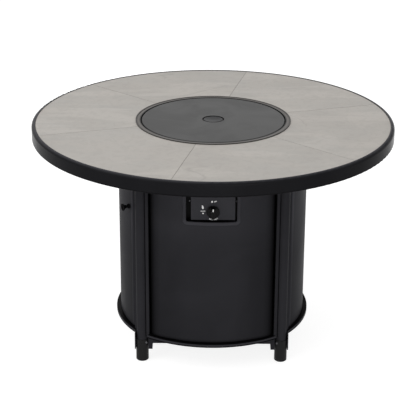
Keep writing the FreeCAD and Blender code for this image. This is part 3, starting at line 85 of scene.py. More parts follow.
def placed(tree, group, inputs):
    """The output of a node group, with this finish's own values."""
    return add(tree, "Group", inputs, node_tree=group).outputs[0]


def math_node(tree, operation, first, second=0.0):
    return add(tree, "Math", {0: first, 1: second}, operation=operation).outputs[0]


def product(tree, first, second):
    return math_node(tree, "MULTIPLY", first, second)


def axes(tree, where):
    """X, Y and Z of a vector."""
    return add(tree, "SeparateXYZ", {0: where}).outputs


def moved(tree, where, **settings):
    """A vector shifted and stretched by Location and Scale."""
    return add(tree, "Mapping", {"Vector": where, **settings}).outputs[0]


def mixed(tree, share, first, second):
    """First colour where share is 0, second where it is 1."""
    return add(tree, "Mix", {0: share, 6: first, 7: second}, data_type="RGBA").outputs[2]


def spread(tree, value, low, high, start=0.0, end=1.0):
    """Start where value is low, end where it is high, smooth in between."""
    return add(tree, "MapRange", {0: value, 1: low, 2: high, 3: start, 4: end},
               interpolation_type="SMOOTHSTEP").outputs[0]


def new_group(name, inputs, output):
    """A node group that takes a Vector and the numbers in inputs, with their first values,
    and puts out one number. With it come the sockets to read and to fill."""
    tree = bpy.data.node_groups.new(name, "ShaderNodeTree")
    tree.interface.new_socket("Vector", in_out="INPUT", socket_type="NodeSocketVector")
    for label, start in inputs.items():
        socket = tree.interface.new_socket(
            label, in_out="INPUT", socket_type="NodeSocketFloat")
        socket.default_value = start
    tree.interface.new_socket(output, in_out="OUTPUT", socket_type="NodeSocketFloat")
    return (tree, tree.nodes.new("NodeGroupInput").outputs,
            tree.nodes.new("NodeGroupOutput").inputs[output])


def noise(tree, where, scale, **inputs):
    return add(tree, "TexNoise", {"Vector": where, "Scale": scale, **inputs}).outputs[0]


def make_grain():
    """Height of a fine irregular surface, such as the peel of a powder coat. Size is the
    width of one bump."""
    tree, given, out = new_group("fine_grain", {"Size": 0.001}, "Height")
    scale = math_node(tree, "DIVIDE", 1.0, given["Size"])
    height = noise(tree, given["Vector"], scale, Detail=2.0, Roughness=0.5)
    tree.links.new(height, out)
    return tree


def make_clouds():
    """Soft patches, 0 to 1. Size is the width of a patch, and Reach how far the noise goes
    each side of its middle before the mask is full."""
    tree, given, out = new_group("soft_patches", {"Size": 0.1, "Reach": 0.2}, "Mask")
    scale = math_node(tree, "DIVIDE", 1.0, given["Size"])
    cloud = noise(tree, given["Vector"], scale, Detail=5.0, Roughness=0.55, Distortion=0.8)
    low = math_node(tree, "SUBTRACT", 0.5, given["Reach"])
    high = math_node(tree, "ADD", 0.5, given["Reach"])
    tree.links.new(spread(tree, cloud, low, high), out)
    return tree


def make_veins():
    """Thin wandering lines, where a noise crosses its middle value, kept only inside large
    patches. Size is the distance between lines, and Width their share of it."""
    tree, given, out = new_group("thin_veins", {"Size": 0.3, "Width": 0.02}, "Mask")
    scale = math_node(tree, "DIVIDE", 1.0, given["Size"])
    wander = noise(tree, given["Vector"], scale, Detail=2.5, Roughness=0.4, Distortion=0.6)
    off = math_node(tree, "ABSOLUTE", math_node(tree, "SUBTRACT", wander, 0.5))
    line = spread(tree, off, 0.0, given["Width"], 1.0, 0.0)
    patch = noise(tree, given["Vector"], product(tree, scale, 1.7), Detail=1.0)
    tree.links.new(product(tree, line, spread(tree, patch, 0.5, 0.64)), out)
    return tree


def make_turning_lines():
    """Height of the fine rings that a lathe or a polishing wheel leaves round the Z axis of
    its vector: a noise of the radius and the height alone. Size is the width of a ring."""
    tree, given, out = new_group("turning_lines", {"Size": 0.0005}, "Height")
    x, y, z = axes(tree, given["Vector"])
    radius = math_node(tree, "SQRT", math_node(
        tree, "ADD", product(tree, x, x), product(tree, y, y)))
    rings = add(tree, "CombineXYZ", {0: radius, 1: z}).outputs[0]
    scale = math_node(tree, "DIVIDE", 1.0, given["Size"])
    tree.links.new(noise(tree, rings, scale, Detail=3.0, Roughness=0.6), out)
    return tree


GRAIN = make_grain()
CLOUDS = make_clouds()
VEINS = make_veins()
TURNING = make_turning_lines()


# Finishes

def surface(name, roughness, **inputs):
    """A material with a Principled shader, and the object's own coordinates."""
    material = bpy.data.materials.new(name)
    material.use_nodes = True
    tree = material.node_tree
    shader = tree.nodes["Principled BSDF"]
    shader.inputs["Roughness"].default_value = roughness
    for label, given in inputs.items():
        shader.inputs[label.replace("_", " ")].default_value = given
    return material, tree, shader, add(tree, "TexCoord").outputs["Object"]


def patchy(tree, shader, where, size, colours, roughness):
    """Colour and roughness go from their first to their second value over soft patches.
    Puts out the colour."""
    mask = placed(tree, CLOUDS, {"Vector": where, "Size": size})
    colour = mixed(tree, mask, *[(*colour, 1.0) for colour in colours])
    tree.links.new(colour, shader.inputs["Base Color"])
    tree.links.new(spread(tree, mask, 0.0, 1.0, *roughness), shader.inputs["Roughness"])
    return colour


def grainy(tree, shader, where, size, depth, group=GRAIN):
    """A bump of grains of a size, or of another group's pattern."""
    height = placed(tree, group, {"Vector": where, "Size": size})
    bump = add(tree, "Bump", {"Height": height, "Distance": depth})
    tree.links.new(bump.outputs[0], shader.inputs["Normal"])


def coat(name, grey, roughness, level, peel=1.1 * MM, depth=0.04 * MM,
         tint=(1.0, 0.99, 1.12), shade=None):
    """Paint or powder coat: a dark even colour that shifts a little over hand-sized
    patches, with the fine peel of a coat that has flowed out. shade gives a share of
    painted light and shade, by which the colour is made darker or lighter from place to
    place."""
    material, tree, shader, where = surface(name, roughness, Specular_IOR_Level=level)
    colours = [[grey * share * part for part in tint] for share in (0.93, 1.07)]
    plain = patchy(tree, shader, where, 160 * MM, colours,
                   (roughness - 0.03, roughness + 0.04))
    if shade:
        shaded = add(tree, "VectorMath", {0: plain, "Scale": shade(tree, where)},
                     operation="SCALE")
        tree.links.new(shaded.outputs[0], shader.inputs["Base Color"])
    grainy(tree, shader, where, peel, depth)
    return material


def powder(name, grey, shade=None):
    """The matt black powder coat of drum, legs and base."""
    return coat(name, grey, 0.42, 0.012, shade=shade)


def around(tree, where, x=0.0, y=0.0):
    """Distance from an upright line through X and Y."""
    flat = moved(tree, where, Location=(-x, -y, 0), Scale=(1.0, 1.0, 0.0))
    return add(tree, "VectorMath", {0: flat}, operation="LENGTH").outputs[1]


def along(tree, value, points):
    """A share that runs straight from point to point. Each point is a place along the
    value, in millimetres, and the share there."""
    first, last = points[0][0], points[-1][0]
    most = max(share for _, share in points)
    way = add(tree, "MapRange", {0: value, 1: first * MM, 2: last * MM}).outputs[0]
    ramp = add(tree, "ValToRGB", {0: way})
    stops = ramp.color_ramp.elements
    for number, (place, share) in enumerate(points):
        at = (place - first) / (last - first)
        stop = stops[number] if number in (0, len(points) - 1) else stops.new(at)
        stop.position = at
        stop.color = (*[share / most] * 3, 1)
    return product(tree, ramp.outputs[0], most)


def painted_height_shade(tree, where):
    """Painted shade and light: the foot of a panel is dark as painted shade, and the panel
    gets a little lighter towards its top as painted light.
    """
    return along(tree, axes(tree, where)[2], [
        (92, 0.2), (96, 0.5), (103, 0.85), (200, 0.87), (340, 0.95), (400, 1.05),
        (460, 1.3), (580, 1.4)])


def painted_edge_shade(tree, where):
    """Painted shade: the front and rear panels get darker towards their upright edges,
    beside the legs.
    """
    aside = math_node(tree, "ABSOLUTE", axes(tree, where)[0])
    return product(tree, painted_height_shade(tree, where), along(tree, aside, [
        (70, 1.0), (130, 0.84), (150, 0.79), (162, 0.6), (167.5, 0.42), (173, 0.16),
        (176, 0.06), (178, 0.02)]))


def painted_side_shade(tree, where):
    """Painted light: the side panels are lighter at the top, and a painted highlight runs a
    little along their upright edges, where they are rolled back."""
    aside = math_node(tree, "ABSOLUTE", axes(tree, where)[1])
    high = along(tree, axes(tree, where)[2], [(320, 1.0), (400, 1.15), (600, 1.15)])
    tall = product(tree, painted_height_shade(tree, where), high)
    return product(tree, tall, along(tree, aside, [
        (160, 1.0), (168, 0.9), (173, 1.5), (177, 1.5), (178, 0.3)]))


def painted_front_shade(tree, where):
    """The front panel has a pressed border that stands proud of the bow. Its edge is a
    painted dark line of shade, and its face is painted lighter as painted light, most of
    all below the opening."""
    proud = math_node(tree, "SUBTRACT", around(tree, where, 0.0, BOW_CENTRE), BOW_RADIUS)
    line = along(tree, proud, [(0.2, 1.0), (0.6, 0.6), (1.0, 1.0), (3, 1.0)])
    face = along(tree, proud, [(0.8, 0.0), (1.3, 1.0), (3, 1.0)])
    more = along(tree, axes(tree, where)[2], [(474, 0.55), (482, 0.2), (600, 0.2)])
    lit = math_node(tree, "ADD", line, product(tree, face, more))
    return product(tree, painted_edge_shade(tree, where), lit)


def painted_plate_shade(tree, where):
    """Painted shade: behind its face the control plate is made near black, standing in for
    the shade of the recess round it.
    """
    return along(tree, axes(tree, where)[1], [
        (-269, 1.0), (-267.4, 1.0), (-266.6, 0.02), (-260, 0.02)])


def painted_base_shade(tree, where):
    """Painted light and shade: the base plate's lip is painted light between its lower edge
    and its top, both darkened as painted shade.
    """
    return along(tree, axes(tree, where)[2], [
        (83, 0.05), (85.8, 0.2), (87, 1.4), (91.4, 1.4), (91.8, 0.5), (92, 0.12)])


def painted_leg_shade(tree, where):
    """A painted dark line of shade runs in the crease where each fin leaves the leg's tube.
    Without their signs, X and Y put all four legs in one place."""
    folded = add(tree, "VectorMath", {0: where}, operation="ABSOLUTE").outputs[0]
    return along(tree, around(tree, folded, LEG_PLACE, LEG_PLACE), [
        (16.0, 1.0), (16.6, 0.05), (18.6, 0.05), (20.5, 1.0), (30, 1.0)])


def painted_rim_shade(tree, where):
    """The rim is darkened along its lower edge as painted shade, and made lighter as a
    painted highlight on its rounded top corner and most of all on its flat ledge."""
    return along(tree, axes(tree, where)[2], [
        (647, 0.35), (650, 0.5), (652, 1.0), (684, 1.0), (686, 1.7), (687.8, 3.2)])


def painted_pan_shade(tree, where):
    """Painted light and shade: the pan's flange is lightest between its rolled bead,
    darkened as painted shade, and the wall that goes down beside the lid, painted black as
    the shade of the gap. The bowl under that wall keeps its plain colour."""
    height = axes(tree, where)[2]
    wall = along(tree, height, [(650, 1.0), (660, 0.3), (686.5, 0.04), (688.3, 1.0)])
    across = along(tree, around(tree, where), [
        (213, 0.05), (216.4, 0.1), (218.5, 1.15), (223, 1.0), (226, 0.5), (228.9, 0.28)])
    bowl = along(tree, height, [(640, 1.0), (650, 0.0)])
    return math_node(tree, "MAXIMUM", product(tree, wall, across), bowl)


def painted_lid_shade(tree, where):
    """Painted shade: the lid is darkened at its edge, in the gap to the pan, and round the
    recess of its knob.
    """
    return along(tree, around(tree, where), [
        (31, 0.15), (32.5, 0.6), (34, 1.0), (207, 1.0), (210, 0.8), (211, 0.15)])


def painted_handle_shade(tree, where):
    """Painted shade: the lid's knob is darkened at its edge, beside its recess."""
    return along(tree, around(tree, where), [
        (20, 1.0), (26, 1.0), (28, 0.5), (28.7, 0.1)])


def plastic(name, grey, roughness, level=0.5):
    """Moulded plastic with a fine spark-eroded texture."""
    material, tree, shader, where = surface(name, roughness, Specular_IOR_Level=level)
    colours = [[grey * share] * 3 for share in (0.95, 1.05)]
    patchy(tree, shader, where, 30 * MM, colours, (roughness - 0.04, roughness + 0.04))
    grainy(tree, shader, where, 0.5 * MM, 0.02 * MM)
    return material


def metal(name, colour, roughness, grain, depth, group=GRAIN):
    """Bare metal, with the fine grain of a rolled or drawn surface, or with the rings of
    turning round the table's own axis."""
    material, tree, shader, where = surface(name, roughness, Metallic=1.0)
    colours = [[part * share for part in colour] for share in (0.9, 1.06)]
    patchy(tree, shader, where, 45 * MM, colours, (roughness - 0.05, roughness + 0.08))
    grainy(tree, shader, where, grain, depth, group)
    return material


# The tiles' colours, from cool to warm and from dark to pale.
TILE_COOL = (0.325, 0.307, 0.284, 1)
TILE_EVEN = (0.372, 0.349, 0.322, 1)
TILE_WARM = (0.340, 0.328, 0.308, 1)
TILE_STREAK = (0.400, 0.374, 0.345, 1)
TILE_PALE = (0.425, 0.400, 0.370, 1)
TILE_FLECK = (0.285, 0.268, 0.247, 1)
TILE_VEIN = (0.235, 0.220, 0.202, 1)
# Each tile's pattern lies this much further on than the last one's, and the streaks are
# drawn out along X.
TILE_SHIFT = (1.37, -0.83, 0.61)
STREAK_STRETCH = (0.28, 1.0, 1.0)


def tile_face(number):
    """Matt porcelain with the look of trowelled cement: warm and cool patches, long soft
    streaks, pale clouds and a few thin veins. Each tile shows its own stretch of it."""
    material, tree, shader, where = surface(f"tile_face_{number}", 0.5,
                                            Specular_IOR_Level=0.3)
    spot = moved(tree, where, Location=[number * part for part in TILE_SHIFT])
    aside = moved(tree, spot, Location=(5.0, 2.0, 0.0))
    long = moved(tree, spot, Scale=STREAK_STRETCH)

    def clouds(place, size, reach):
        return placed(tree, CLOUDS, {"Vector": place, "Size": size, "Reach": reach})

    def over(below, mask, low, most, above):
        """One colour over another, by at most a share, where the mask is over low."""
        return mixed(tree, spread(tree, mask, low, 1.0, 0.0, most), below, above)

    streaks = clouds(long, 45 * MM, 0.22)
    veins = placed(tree, VEINS, {"Vector": spot, "Size": 340 * MM, "Width": 0.009})
    colour = mixed(tree, clouds(spot, 230 * MM, 0.16), TILE_COOL, TILE_EVEN)
    colour = over(colour, clouds(aside, 310 * MM, 0.2), 0.0, 0.6, TILE_WARM)
    colour = over(colour, streaks, 0.0, 0.45, TILE_STREAK)
    colour = over(colour, clouds(long, 110 * MM, 0.12), 0.5, 0.5, TILE_PALE)
    colour = over(colour, clouds(spot, 20 * MM, 0.1), 0.6, 0.22, TILE_FLECK)
    colour = over(colour, veins, 0.0, 0.3, TILE_VEIN)
    tree.links.new(colour, shader.inputs["Base Color"])
    tree.links.new(spread(tree, streaks, 0.0, 1.0, 0.47, 0.56),
                   shader.inputs["Roughness"])
    grainy(tree, shader, spot, 1.6 * MM, 0.06 * MM)
    return material


def mottled(name, level, size, colours, roughness, grain, depth):
    """A finish that is mottled over soft patches and has a grain of its own."""
    middle = sum(roughness) / 2
    material, tree, shader, where = surface(name, middle, Specular_IOR_Level=level)
    patchy(tree, shader, where, size, colours, roughness)
    grainy(tree, shader, where, grain, depth)
    return material


def glazed_ceramic():
    """The white glaze of the electrode's insulator."""
    material, tree, shader, where = surface("glazed_ceramic", 0.2, Coat_Weight=0.3)
    patchy(tree, shader, where, 20 * MM, [(0.74, 0.72, 0.67), (0.8, 0.79, 0.75)],
           (0.15, 0.25))
    grainy(tree, shader, where, 2 * MM, 0.03 * MM)
    return material


# One black powder coat in copies whose small differences of grey are painted light and
# shade; the door's lower grey is painted shade. Their shade functions add painted light and
# shade by place.
POWDER = powder("powder_coat", 0.026)
FRONT = powder("front_panel_coat", 0.028, painted_front_shade)
REAR = powder("rear_panel_coat", 0.028, painted_edge_shade)
SIDE = powder("side_panel_coat", 0.026, painted_side_shade)
DOOR = powder("door_coat", 0.0235, painted_side_shade)
BASE = powder("base_plate_coat", 0.026, painted_base_shade)
LEG = powder("leg_coat", 0.027, painted_leg_shade)
# The rim's grey, darker than the drum's copies, is painted shade.
RIM = coat("rim_coat", 0.0105, 0.24, 0.022, shade=painted_rim_shade)
LID = coat("lid_coat", 0.018, 0.38, 0.22, peel=0.8 * MM, depth=0.02 * MM,
           tint=(1.0, 0.99, 0.98), shade=painted_lid_shade)
PAN = coat("pan_coat", 0.09, 0.4, 0.16, tint=(1.0, 0.92, 0.85), shade=painted_pan_shade)
HANDLE = coat("handle_coat", 0.011, 0.4, 0.13, peel=0.8 * MM, depth=0.02 * MM,
              shade=painted_handle_shade)
PLATE = coat("plate_coat", 0.043, 0.42, 0.04, shade=painted_plate_shade)
# The control box is near black and rough as painted shade inside its recess.
BOX_PAINTED_SHADE = coat("box_coat", 0.002, 0.8, 0.01)
DOOR_KNOB = coat("door_knob_coat", 0.004, 0.4, 0.003)
BURNER = metal("burner_steel", (0.60, 0.58, 0.55), 0.3, 0.6 * MM, 0.02 * MM, TURNING)
SHIELD = metal("shield_steel", (0.50, 0.50, 0.50), 0.45, 4 * MM, 0.08 * MM)
SENSOR = metal("sensor_metal", (0.60, 0.55, 0.46), 0.35, 0.4 * MM, 0.02 * MM)
BRASS = metal("valve_brass", (0.66, 0.50, 0.24), 0.34, 0.9 * MM, 0.04 * MM)
STEM = metal("stem_steel", (0.60, 0.60, 0.59), 0.3, 0.5 * MM, 0.02 * MM)
PIPE = metal("pipe_aluminium", (0.66, 0.66, 0.66), 0.36, 0.8 * MM, 0.03 * MM)
SCREW = metal("screw_steel", (0.09, 0.09, 0.095), 0.38, 0.4 * MM, 0.03 * MM)
KNOB = plastic("knob_plastic", 0.005, 0.3, 0.07)
FOOT = plastic("foot_plastic", 0.012, 0.45, 0.1)
CATCH = plastic("catch_plastic", 0.02, 0.5)
CERAMIC = glazed_ceramic()

# Pressed board with pits and damp patches, sanded grout a little darker than the tiles, and
# screen-printed white ink, thin enough to show the coat's grain.
BOARD = mottled("cement_board", 0.2, 120 * MM, [(0.36, 0.35, 0.33), (0.46, 0.45, 0.43)],
                (0.85, 0.95), 3.5 * MM, 0.4 * MM)
GROUT = mottled("grout", 0.2, 50 * MM, [(0.20, 0.19, 0.175), (0.26, 0.245, 0.225)],
                (0.85, 0.95), 0.7 * MM, 0.2 * MM)
INK = mottled("white_print", 0.4, 4 * MM, [(0.86, 0.86, 0.85), (0.93, 0.93, 0.92)],
              (0.5, 0.6), 0.4 * MM, 0.02 * MM)

BY_SLOT = {
    "powder_coat": POWDER, "rim_coat": RIM, "lid_coat": LID, "pan_coat": PAN,
    "handle_coat": HANDLE, "box_coat": BOX_PAINTED_SHADE, "plate_coat": PLATE,
    "door_knob_coat": DOOR_KNOB,
    "burner_steel": BURNER, "shield_steel": SHIELD, "sensor_metal": SENSOR,
    "valve_brass": BRASS, "stem_steel": STEM, "pipe_aluminium": PIPE,
    "screw_steel": SCREW, "knob_plastic": KNOB, "foot_plastic": FOOT,
    "catch_plastic": CATCH, "electrode_ceramic": CERAMIC, "cement_board": BOARD,
}
BY_NODE = {f"tile_{number}": tile_face(number) for number in range(1, 7)}
BY_NODE.update(front_panel=FRONT, rear_panel=REAR, right_panel=SIDE, door=DOOR,
               base_plate=BASE, **{node: LEG for node in frame["nodes"]
                                   if node.startswith("leg_") and node != "leg_bolts"})


def finish_parts():
    """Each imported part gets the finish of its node, or else of its slot in the record."""
    for part in frame["record"]["subparts"]:
        node = part["node"]
        mesh = frame["nodes"][node].data
        mesh.materials.clear()
        mesh.materials.append(BY_NODE.get(node) or BY_SLOT[part["material_slot"]])


# New pieces

def skin(name, rows, finish, body="table", ring=False):
    """A closed piece from rows of points. Each row goes once round the piece's section and
    the rows run along it. They join up if it is a ring; otherwise each end row is closed by
    one face. Faces point outwards."""
    rows = np.asarray(rows, float)
    count, turn = rows.shape[:2]
    index = np.arange(count * turn).reshape(count, turn)
    here, after = (index, np.roll(index, -1, 0)) if ring else (index[:-1], index[1:])
    quads = np.stack([here, np.roll(here, -1, 1), np.roll(after, -1, 1), after], -1)
    faces = quads.reshape(-1, 4).tolist()
    if not ring:
        faces += [index[0, ::-1].tolist(), index[-1].tolist()]
    piece(name, rows.reshape(-1, 3), faces, finish, body)


def piece(name, points, faces, finish, body):
    """A piece from points and faces, its doubles merged and its faces turned outwards. It
    rides on a body and carries its finish."""
    mesh = bpy.data.meshes.new(name)
    mesh.from_pydata(np.asarray(points, float).tolist(), [], faces)
    work = bmesh.new()
    work.from_mesh(mesh)
    bmesh.ops.remove_doubles(work, verts=work.verts, dist=1e-7)
    bmesh.ops.recalc_face_normals(work, faces=work.faces)
    work.to_mesh(mesh)
    work.free()
    mesh.materials.append(finish)
    thing = bpy.data.objects.new(name, mesh)
    bpy.context.scene.collection.objects.link(thing)
    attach(thing, body)


# The joints between the tiles: straight ones, and one round their outer edge. The slack
# keeps the grout off the tiles, and it ends a drop below their faces.
JOINT_WIDTH = 1.4 * MM
JOINT_COUNT = 6
FIRST_JOINT = math.radians(-102.1)
EDGE_JOINT = (520.9 * MM, 522.3 * MM)
GROUT_SLACK = 0.02 * MM
GROUT_DROP = 0.35 * MM
GROUT_DISH = 0.25 * MM
GROUT_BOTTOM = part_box("tile_1")[0].z + GROUT_SLACK
GROUT_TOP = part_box("tile_1")[1].z - GROUT_DROP


def grout_section(width):
    """Across a joint: a flat bottom, straight sides, and a top pulled down along a half
    cosine by the finger that smoothed it. Distances across, and heights."""
    across = np.linspace(0.5, -0.5, 9)
    dish = GROUT_TOP - GROUT_DISH * np.cos(np.pi * across)
    half = width / 2
    return (np.hstack([(-half, half), across * width]),
            np.hstack([(GROUT_BOTTOM, GROUT_BOTTOM), dish]))


def make_straight_grout():
    """The joints from the pan to the rim: the section goes along a radius, from the tiles'
    inner to their outer edge."""
    points = np.array([v.co for v in frame["nodes"]["tile_1"].data.vertices])
    reach = np.hypot(points[:, 0], points[:, 1])
    steps = np.linspace(reach.min() + GROUT_SLACK, reach.max() - GROUT_SLACK, 40)
    aside, height = grout_section(JOINT_WIDTH - 2 * GROUT_SLACK)
    for number in range(JOINT_COUNT):
        angle = FIRST_JOINT + number * 2 * math.pi / JOINT_COUNT
        outward = np.array([math.cos(angle), math.sin(angle), 0])
        across = np.array([-outward[1], outward[0], 0])
        rows = (steps[:, None, None] * outward + aside[:, None] * across
                + height[:, None] * np.array([0, 0, 1]))
        skin(f"grout_{number + 1}", rows, GROUT)


def make_edge_grout():
    """The joint between the tiles and the rim: the section goes round its middle circle."""
    inner, outer = EDGE_JOINT
    aside, height = grout_section(outer - inner - 2 * GROUT_SLACK)
    turn = np.linspace(0, 2 * math.pi, 240, endpoint=False)[:, None]
    radius = (inner + outer) / 2 + aside
    rows = np.stack([radius * np.cos(turn), radius * np.sin(turn),
                     np.broadcast_to(height, (len(turn), len(height)))], -1)
    skin("grout_edge", rows, GROUT, ring=True)


# The base plate's lip goes on past the notches, to the sockets. Its arc, its wall and
# flange, and the places where the plate ends and the socket's cheek begins.
LIP_REACH = 295 * MM
LIP_RADIUS = 329.1 * MM
LIP_WALL = 2 * MM
LIP_FOLD = 5 * MM
LIP_START = 190.4 * MM
LIP_END = 198.4 * MM


def make_lips():
    """Short bent strips from the ends of the plate's left and right sides to the legs. The
    section is an upright wall with a flange folded inwards at its top, and it goes along
    the arc of the plate's side."""
    low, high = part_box("base_plate")[0].z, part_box("base_plate")[1].z
    under = high - LIP_WALL
    section = np.array([(0, low), (0, high), (-LIP_FOLD, high), (-LIP_FOLD, under),
                        (-LIP_WALL, under), (-LIP_WALL, low)])
    angles = np.arcsin(np.linspace(LIP_START, LIP_END, 6) / LIP_RADIUS)[:, None]
    radius = LIP_RADIUS + section[:, 0]
    forward = LIP_REACH - LIP_RADIUS + radius * np.cos(angles)
    aside = radius * np.sin(angles)
    height = np.broadcast_to(section[:, 1], aside.shape)
    for side, x in (("left", -1), ("right", 1)):
        for end, y in (("front", -1), ("rear", 1)):
            rows = np.stack([x * forward, y * aside, height], -1)
            skin(f"base_lip_{end}_{side}", rows, BASE)


# Printed marks. Places on the control plate are X and Z, and those on the knob are from
# its axis. The ink starts a little inside its face, so that no gap shows under it.
INK_DEPTH = 0.12 * MM
INK_SUNK = 0.01 * MM
PLATE_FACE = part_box("control_plate")[0].y + INK_SUNK
KNOB_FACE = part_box("control_knob")[0].y + INK_SUNK
KNOB_AXIS = (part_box("control_knob")[0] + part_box("control_knob")[1]) / 2
MARK_RADIUS = 26.2 * MM


def flat_mark(name, outline, face=PLATE_FACE, body="table"):
    """A closed slab of ink: the outline, in X and Z, carried along -Y from a face."""
    outline = np.asarray(outline, float)
    rows = [np.column_stack([outline[:, 0], np.full(len(outline), depth), outline[:, 1]])
            for depth in (face, face - INK_DEPTH)]
    skin(name, rows, INK, body)


def oval(x, z, half_width, half_height):
    """Half the width times the cosine of the turn, and half the height times its sine."""
    turn = np.linspace(0, 2 * math.pi, 40, endpoint=False)
    return np.column_stack([x + half_width * np.cos(turn), z + half_height * np.sin(turn)])


def flame(x, z, width, height, lean):
    """A flame from a point at the top round to the same point: its width swells as the sine
    of the way down, more so towards its foot, and is pulled towards one side by the sine
    of twice the way. lean turns the whole."""
    way = np.linspace(0, math.pi, 24)
    down = (1 - np.cos(way)) / 2
    half = width / 2 * np.sin(way) ** 0.8 * (0.65 + 0.35 * down)
    bend = 0.175 * width * np.sin(2 * way)
    up = height * (0.5 - down)
    right = np.column_stack([bend + half, up])
    left = np.column_stack([bend - half, up])[-2:0:-1]
    shape = np.vstack([right, left])
    turn = np.array([[math.cos(lean), math.sin(lean)], [-math.sin(lean), math.cos(lean)]])
    return shape @ turn + (x, z)


def word(name, letters, height, place, weight):
    """A word of ink on the plate. place maps the letters' points, to the right and up from
    the middle of the word's foot, to X and Z. weight is how much each stroke is thickened,
    as a share of the letters' size."""
    curve = bpy.data.curves.new(name + "_letters", "FONT")
    curve.body = letters
    curve.align_x = "CENTER"
    curve.resolution_u = 3
    curve.extrude = 0.5
    curve.offset = weight
    text = bpy.data.objects.new(name + "_letters", curve)
    bpy.context.scene.collection.objects.link(text)
    bpy.context.view_layer.update()
    mesh = bpy.data.meshes.new_from_object(
        text.evaluated_get(bpy.context.evaluated_depsgraph_get()))
    bpy.data.objects.remove(text)
    points = np.zeros(len(mesh.vertices) * 3)
    mesh.vertices.foreach_get("co", points)
    points = points.reshape(-1, 3)
    size = height / np.ptp(points[:, 1])
    x, z = place(points[:, 0] * size, (points[:, 1] - points[:, 1].min()) * size)
    y = PLATE_FACE - INK_DEPTH * (points[:, 2] + 0.5)
    faces = [list(polygon.vertices) for polygon in mesh.polygons]
    piece(name, np.column_stack([x, y, z]), faces, INK, "table")


def level(x, z, slant=0.0):
    """Letters on a straight foot through X and Z."""
    def place(right, up):
        return (x + right * math.cos(slant) - up * math.sin(slant),
                z + right * math.sin(slant) + up * math.cos(slant))
    return place


def below_knob(angle):
    """Letters round the lower side of the knob, upright: their feet on the marks' radius
    and their middle at an angle from straight down, to the right."""
    def place(right, up):
        turn = angle + right / MARK_RADIUS
        return (KNOB_AXIS.x + (MARK_RADIUS - up) * np.sin(turn),
                KNOB_AXIS.z - (MARK_RADIUS - up) * np.cos(turn))
    return place


def make_marks():
    """OFF with its dot above the knob, the flame, word and dot for lighting at its left,
    LOW and HIGH below it, and the pointer on its grip."""
    flat_mark("mark_off_dot", oval(-1.3 * MM, 531.3 * MM, 2.7 * MM, 2.7 * MM))
    word("mark_off", "OFF", 3.5 * MM, level(8.3 * MM, 530.2 * MM, math.radians(16)), 0.03)
    flat_mark("mark_flame", flame(-27.8 * MM, 515 * MM, 6 * MM, 11 * MM, math.radians(28)))
    word("mark_ignite", "IGNITE", 3.1 * MM, level(-26.8 * MM, 501.4 * MM), 0.03)
    flat_mark("mark_ignite_dot", oval(-26.5 * MM, 495.9 * MM, 2.565 * MM, 1.9 * MM))
    word("mark_low", "LOW", 3.9 * MM, below_knob(math.radians(-14)), 0.035)
    word("mark_high", "HIGH", 3.9 * MM, below_knob(math.radians(18)), 0.035)
    pointer = [(-2.4, 7.6), (1.6, 7.6), (1.2, 15.8), (-0.2, 15.8)]
    flat_mark("knob_pointer", [(KNOB_AXIS.x + x * MM, KNOB_AXIS.z + z * MM)
                               for x, z in pointer], KNOB_FACE, "control_knob")


# The studio

FLOOR_REACH = 30.0
FLOOR_DROP = 0.3 * MM
FLOOR_GREY = 0.37
FLOOR_GLOW = 0.84
ROOM_LIGHT = 0.6
WHITE = (1, 1, 1, 1)


def seen_share(tree):
    """1 for the camera, and in reflections and through glass; 0 for the light that falls on
    the object."""
    path = add(tree, "LightPath").outputs
    return math_node(tree, "MAXIMUM", path["Is Camera Ray"], math_node(
        tree, "MAXIMUM", path["Is Glossy Ray"], path["Is Transmission Ray"]))


def make_floor():
    """A white floor that reaches past every view. To the camera, and in reflections, it
    gives off a little light too, which makes it white and leaves the shadow on it."""
    material = bpy.data.materials.new("floor_white")
    material.use_nodes = True
    tree = material.node_tree
    tree.nodes.clear()
    strength = product(tree, seen_share(tree), FLOOR_GLOW)
    lit = add(tree, "BsdfDiffuse", {"Color": (FLOOR_GREY, FLOOR_GREY, FLOOR_GREY, 1)})
    glow = add(tree, "Emission", {"Color": WHITE, "Strength": strength})
    whole = add(tree, "AddShader", {0: lit.outputs[0], 1: glow.outputs[0]})
    out = add(tree, "OutputMaterial")
    tree.links.new(whole.outputs[0], out.inputs["Surface"])
    mesh = bpy.data.meshes.new("floor")
    corners = [(-1, -1), (1, -1), (1, 1), (-1, 1)]
    mesh.from_pydata([(x * FLOOR_REACH, y * FLOOR_REACH, -FLOOR_DROP) for x, y in corners],
                     [], [(0, 1, 2, 3)])
    mesh.materials.append(material)
    floor = bpy.data.objects.new("floor", mesh)
    bpy.context.scene.collection.objects.link(floor)


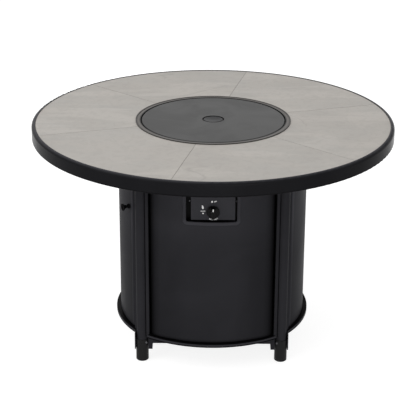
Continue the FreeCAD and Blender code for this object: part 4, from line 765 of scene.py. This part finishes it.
def make_world():
    """Even grey light for the object, and white behind it for the camera and in
    reflections."""
    world = bpy.data.worlds.new("studio")
    world.use_nodes = True
    bpy.context.scene.world = world
    tree = world.node_tree
    tree.nodes.clear()
    room = add(tree, "Background", {"Color": WHITE, "Strength": ROOM_LIGHT})
    white = add(tree, "Background", {"Color": WHITE, "Strength": 1.0})
    whole = add(tree, "MixShader", {0: seen_share(tree), 1: room.outputs[0],
                                    2: white.outputs[0]})
    out = add(tree, "OutputWorld")
    tree.links.new(whole.outputs[0], out.inputs["Surface"])


# Square lamps: spot, width, power, and the height of the point on the table's axis that
# the lamp faces.
LAMPS = {
    "key_light": ((-2.4, -1.8, 2.6), 2.8, 44, 0.5),
    "top_light": ((-0.3, 0.2, 3.6), 3.0, 34, 0.5),
    "front_light": ((0.7, -3.4, 0.45), 1.6, 42, 0.5),
    "back_light": ((-0.9, 3.4, 0.25), 0.8, 20, 0.35),
}


def make_lamps():
    for name, (spot, width, power, aim) in LAMPS.items():
        lamp = bpy.data.lights.new(name, "AREA")
        lamp.size = width
        lamp.energy = power
        thing = bpy.data.objects.new(name, lamp)
        thing.location = spot
        facing = Vector((0, 0, aim)) - Vector(spot)
        thing.rotation_euler = facing.to_track_quat("-Z", "Y").to_euler()
        bpy.context.scene.collection.objects.link(thing)


def make_camera():
    """Looks along +Y and down, with the photograph's roll and its off-centre axis."""
    ahead = Vector((0, math.cos(CAMERA_TILT), -math.sin(CAMERA_TILT)))
    level_right = Vector((1, 0, 0))
    upright = level_right.cross(ahead)
    right = math.cos(CAMERA_ROLL) * level_right + math.sin(CAMERA_ROLL) * upright
    up = math.cos(CAMERA_ROLL) * upright - math.sin(CAMERA_ROLL) * level_right
    lens = bpy.data.cameras.new("camera")
    lens.sensor_width = SENSOR_WIDTH
    lens.lens = FOCAL_PIXELS / PICTURE_PIXELS * SENSOR_WIDTH
    lens.shift_x = (PICTURE_PIXELS / 2 - AXIS_PIXEL) / PICTURE_PIXELS
    camera = bpy.data.objects.new("camera", lens)
    camera.matrix_world = Matrix.Translation((0, -CAMERA_BACK, CAMERA_HEIGHT)) @ Matrix(
        (right, up, -ahead)).transposed().to_4x4()
    bpy.context.scene.collection.objects.link(camera)
    bpy.context.scene.camera = camera


finish_parts()
make_straight_grout()
make_edge_grout()
make_lips()
make_marks()
make_floor()
make_world()
make_lamps()
make_camera()
bpy.context.scene.view_settings.view_transform = "Standard"
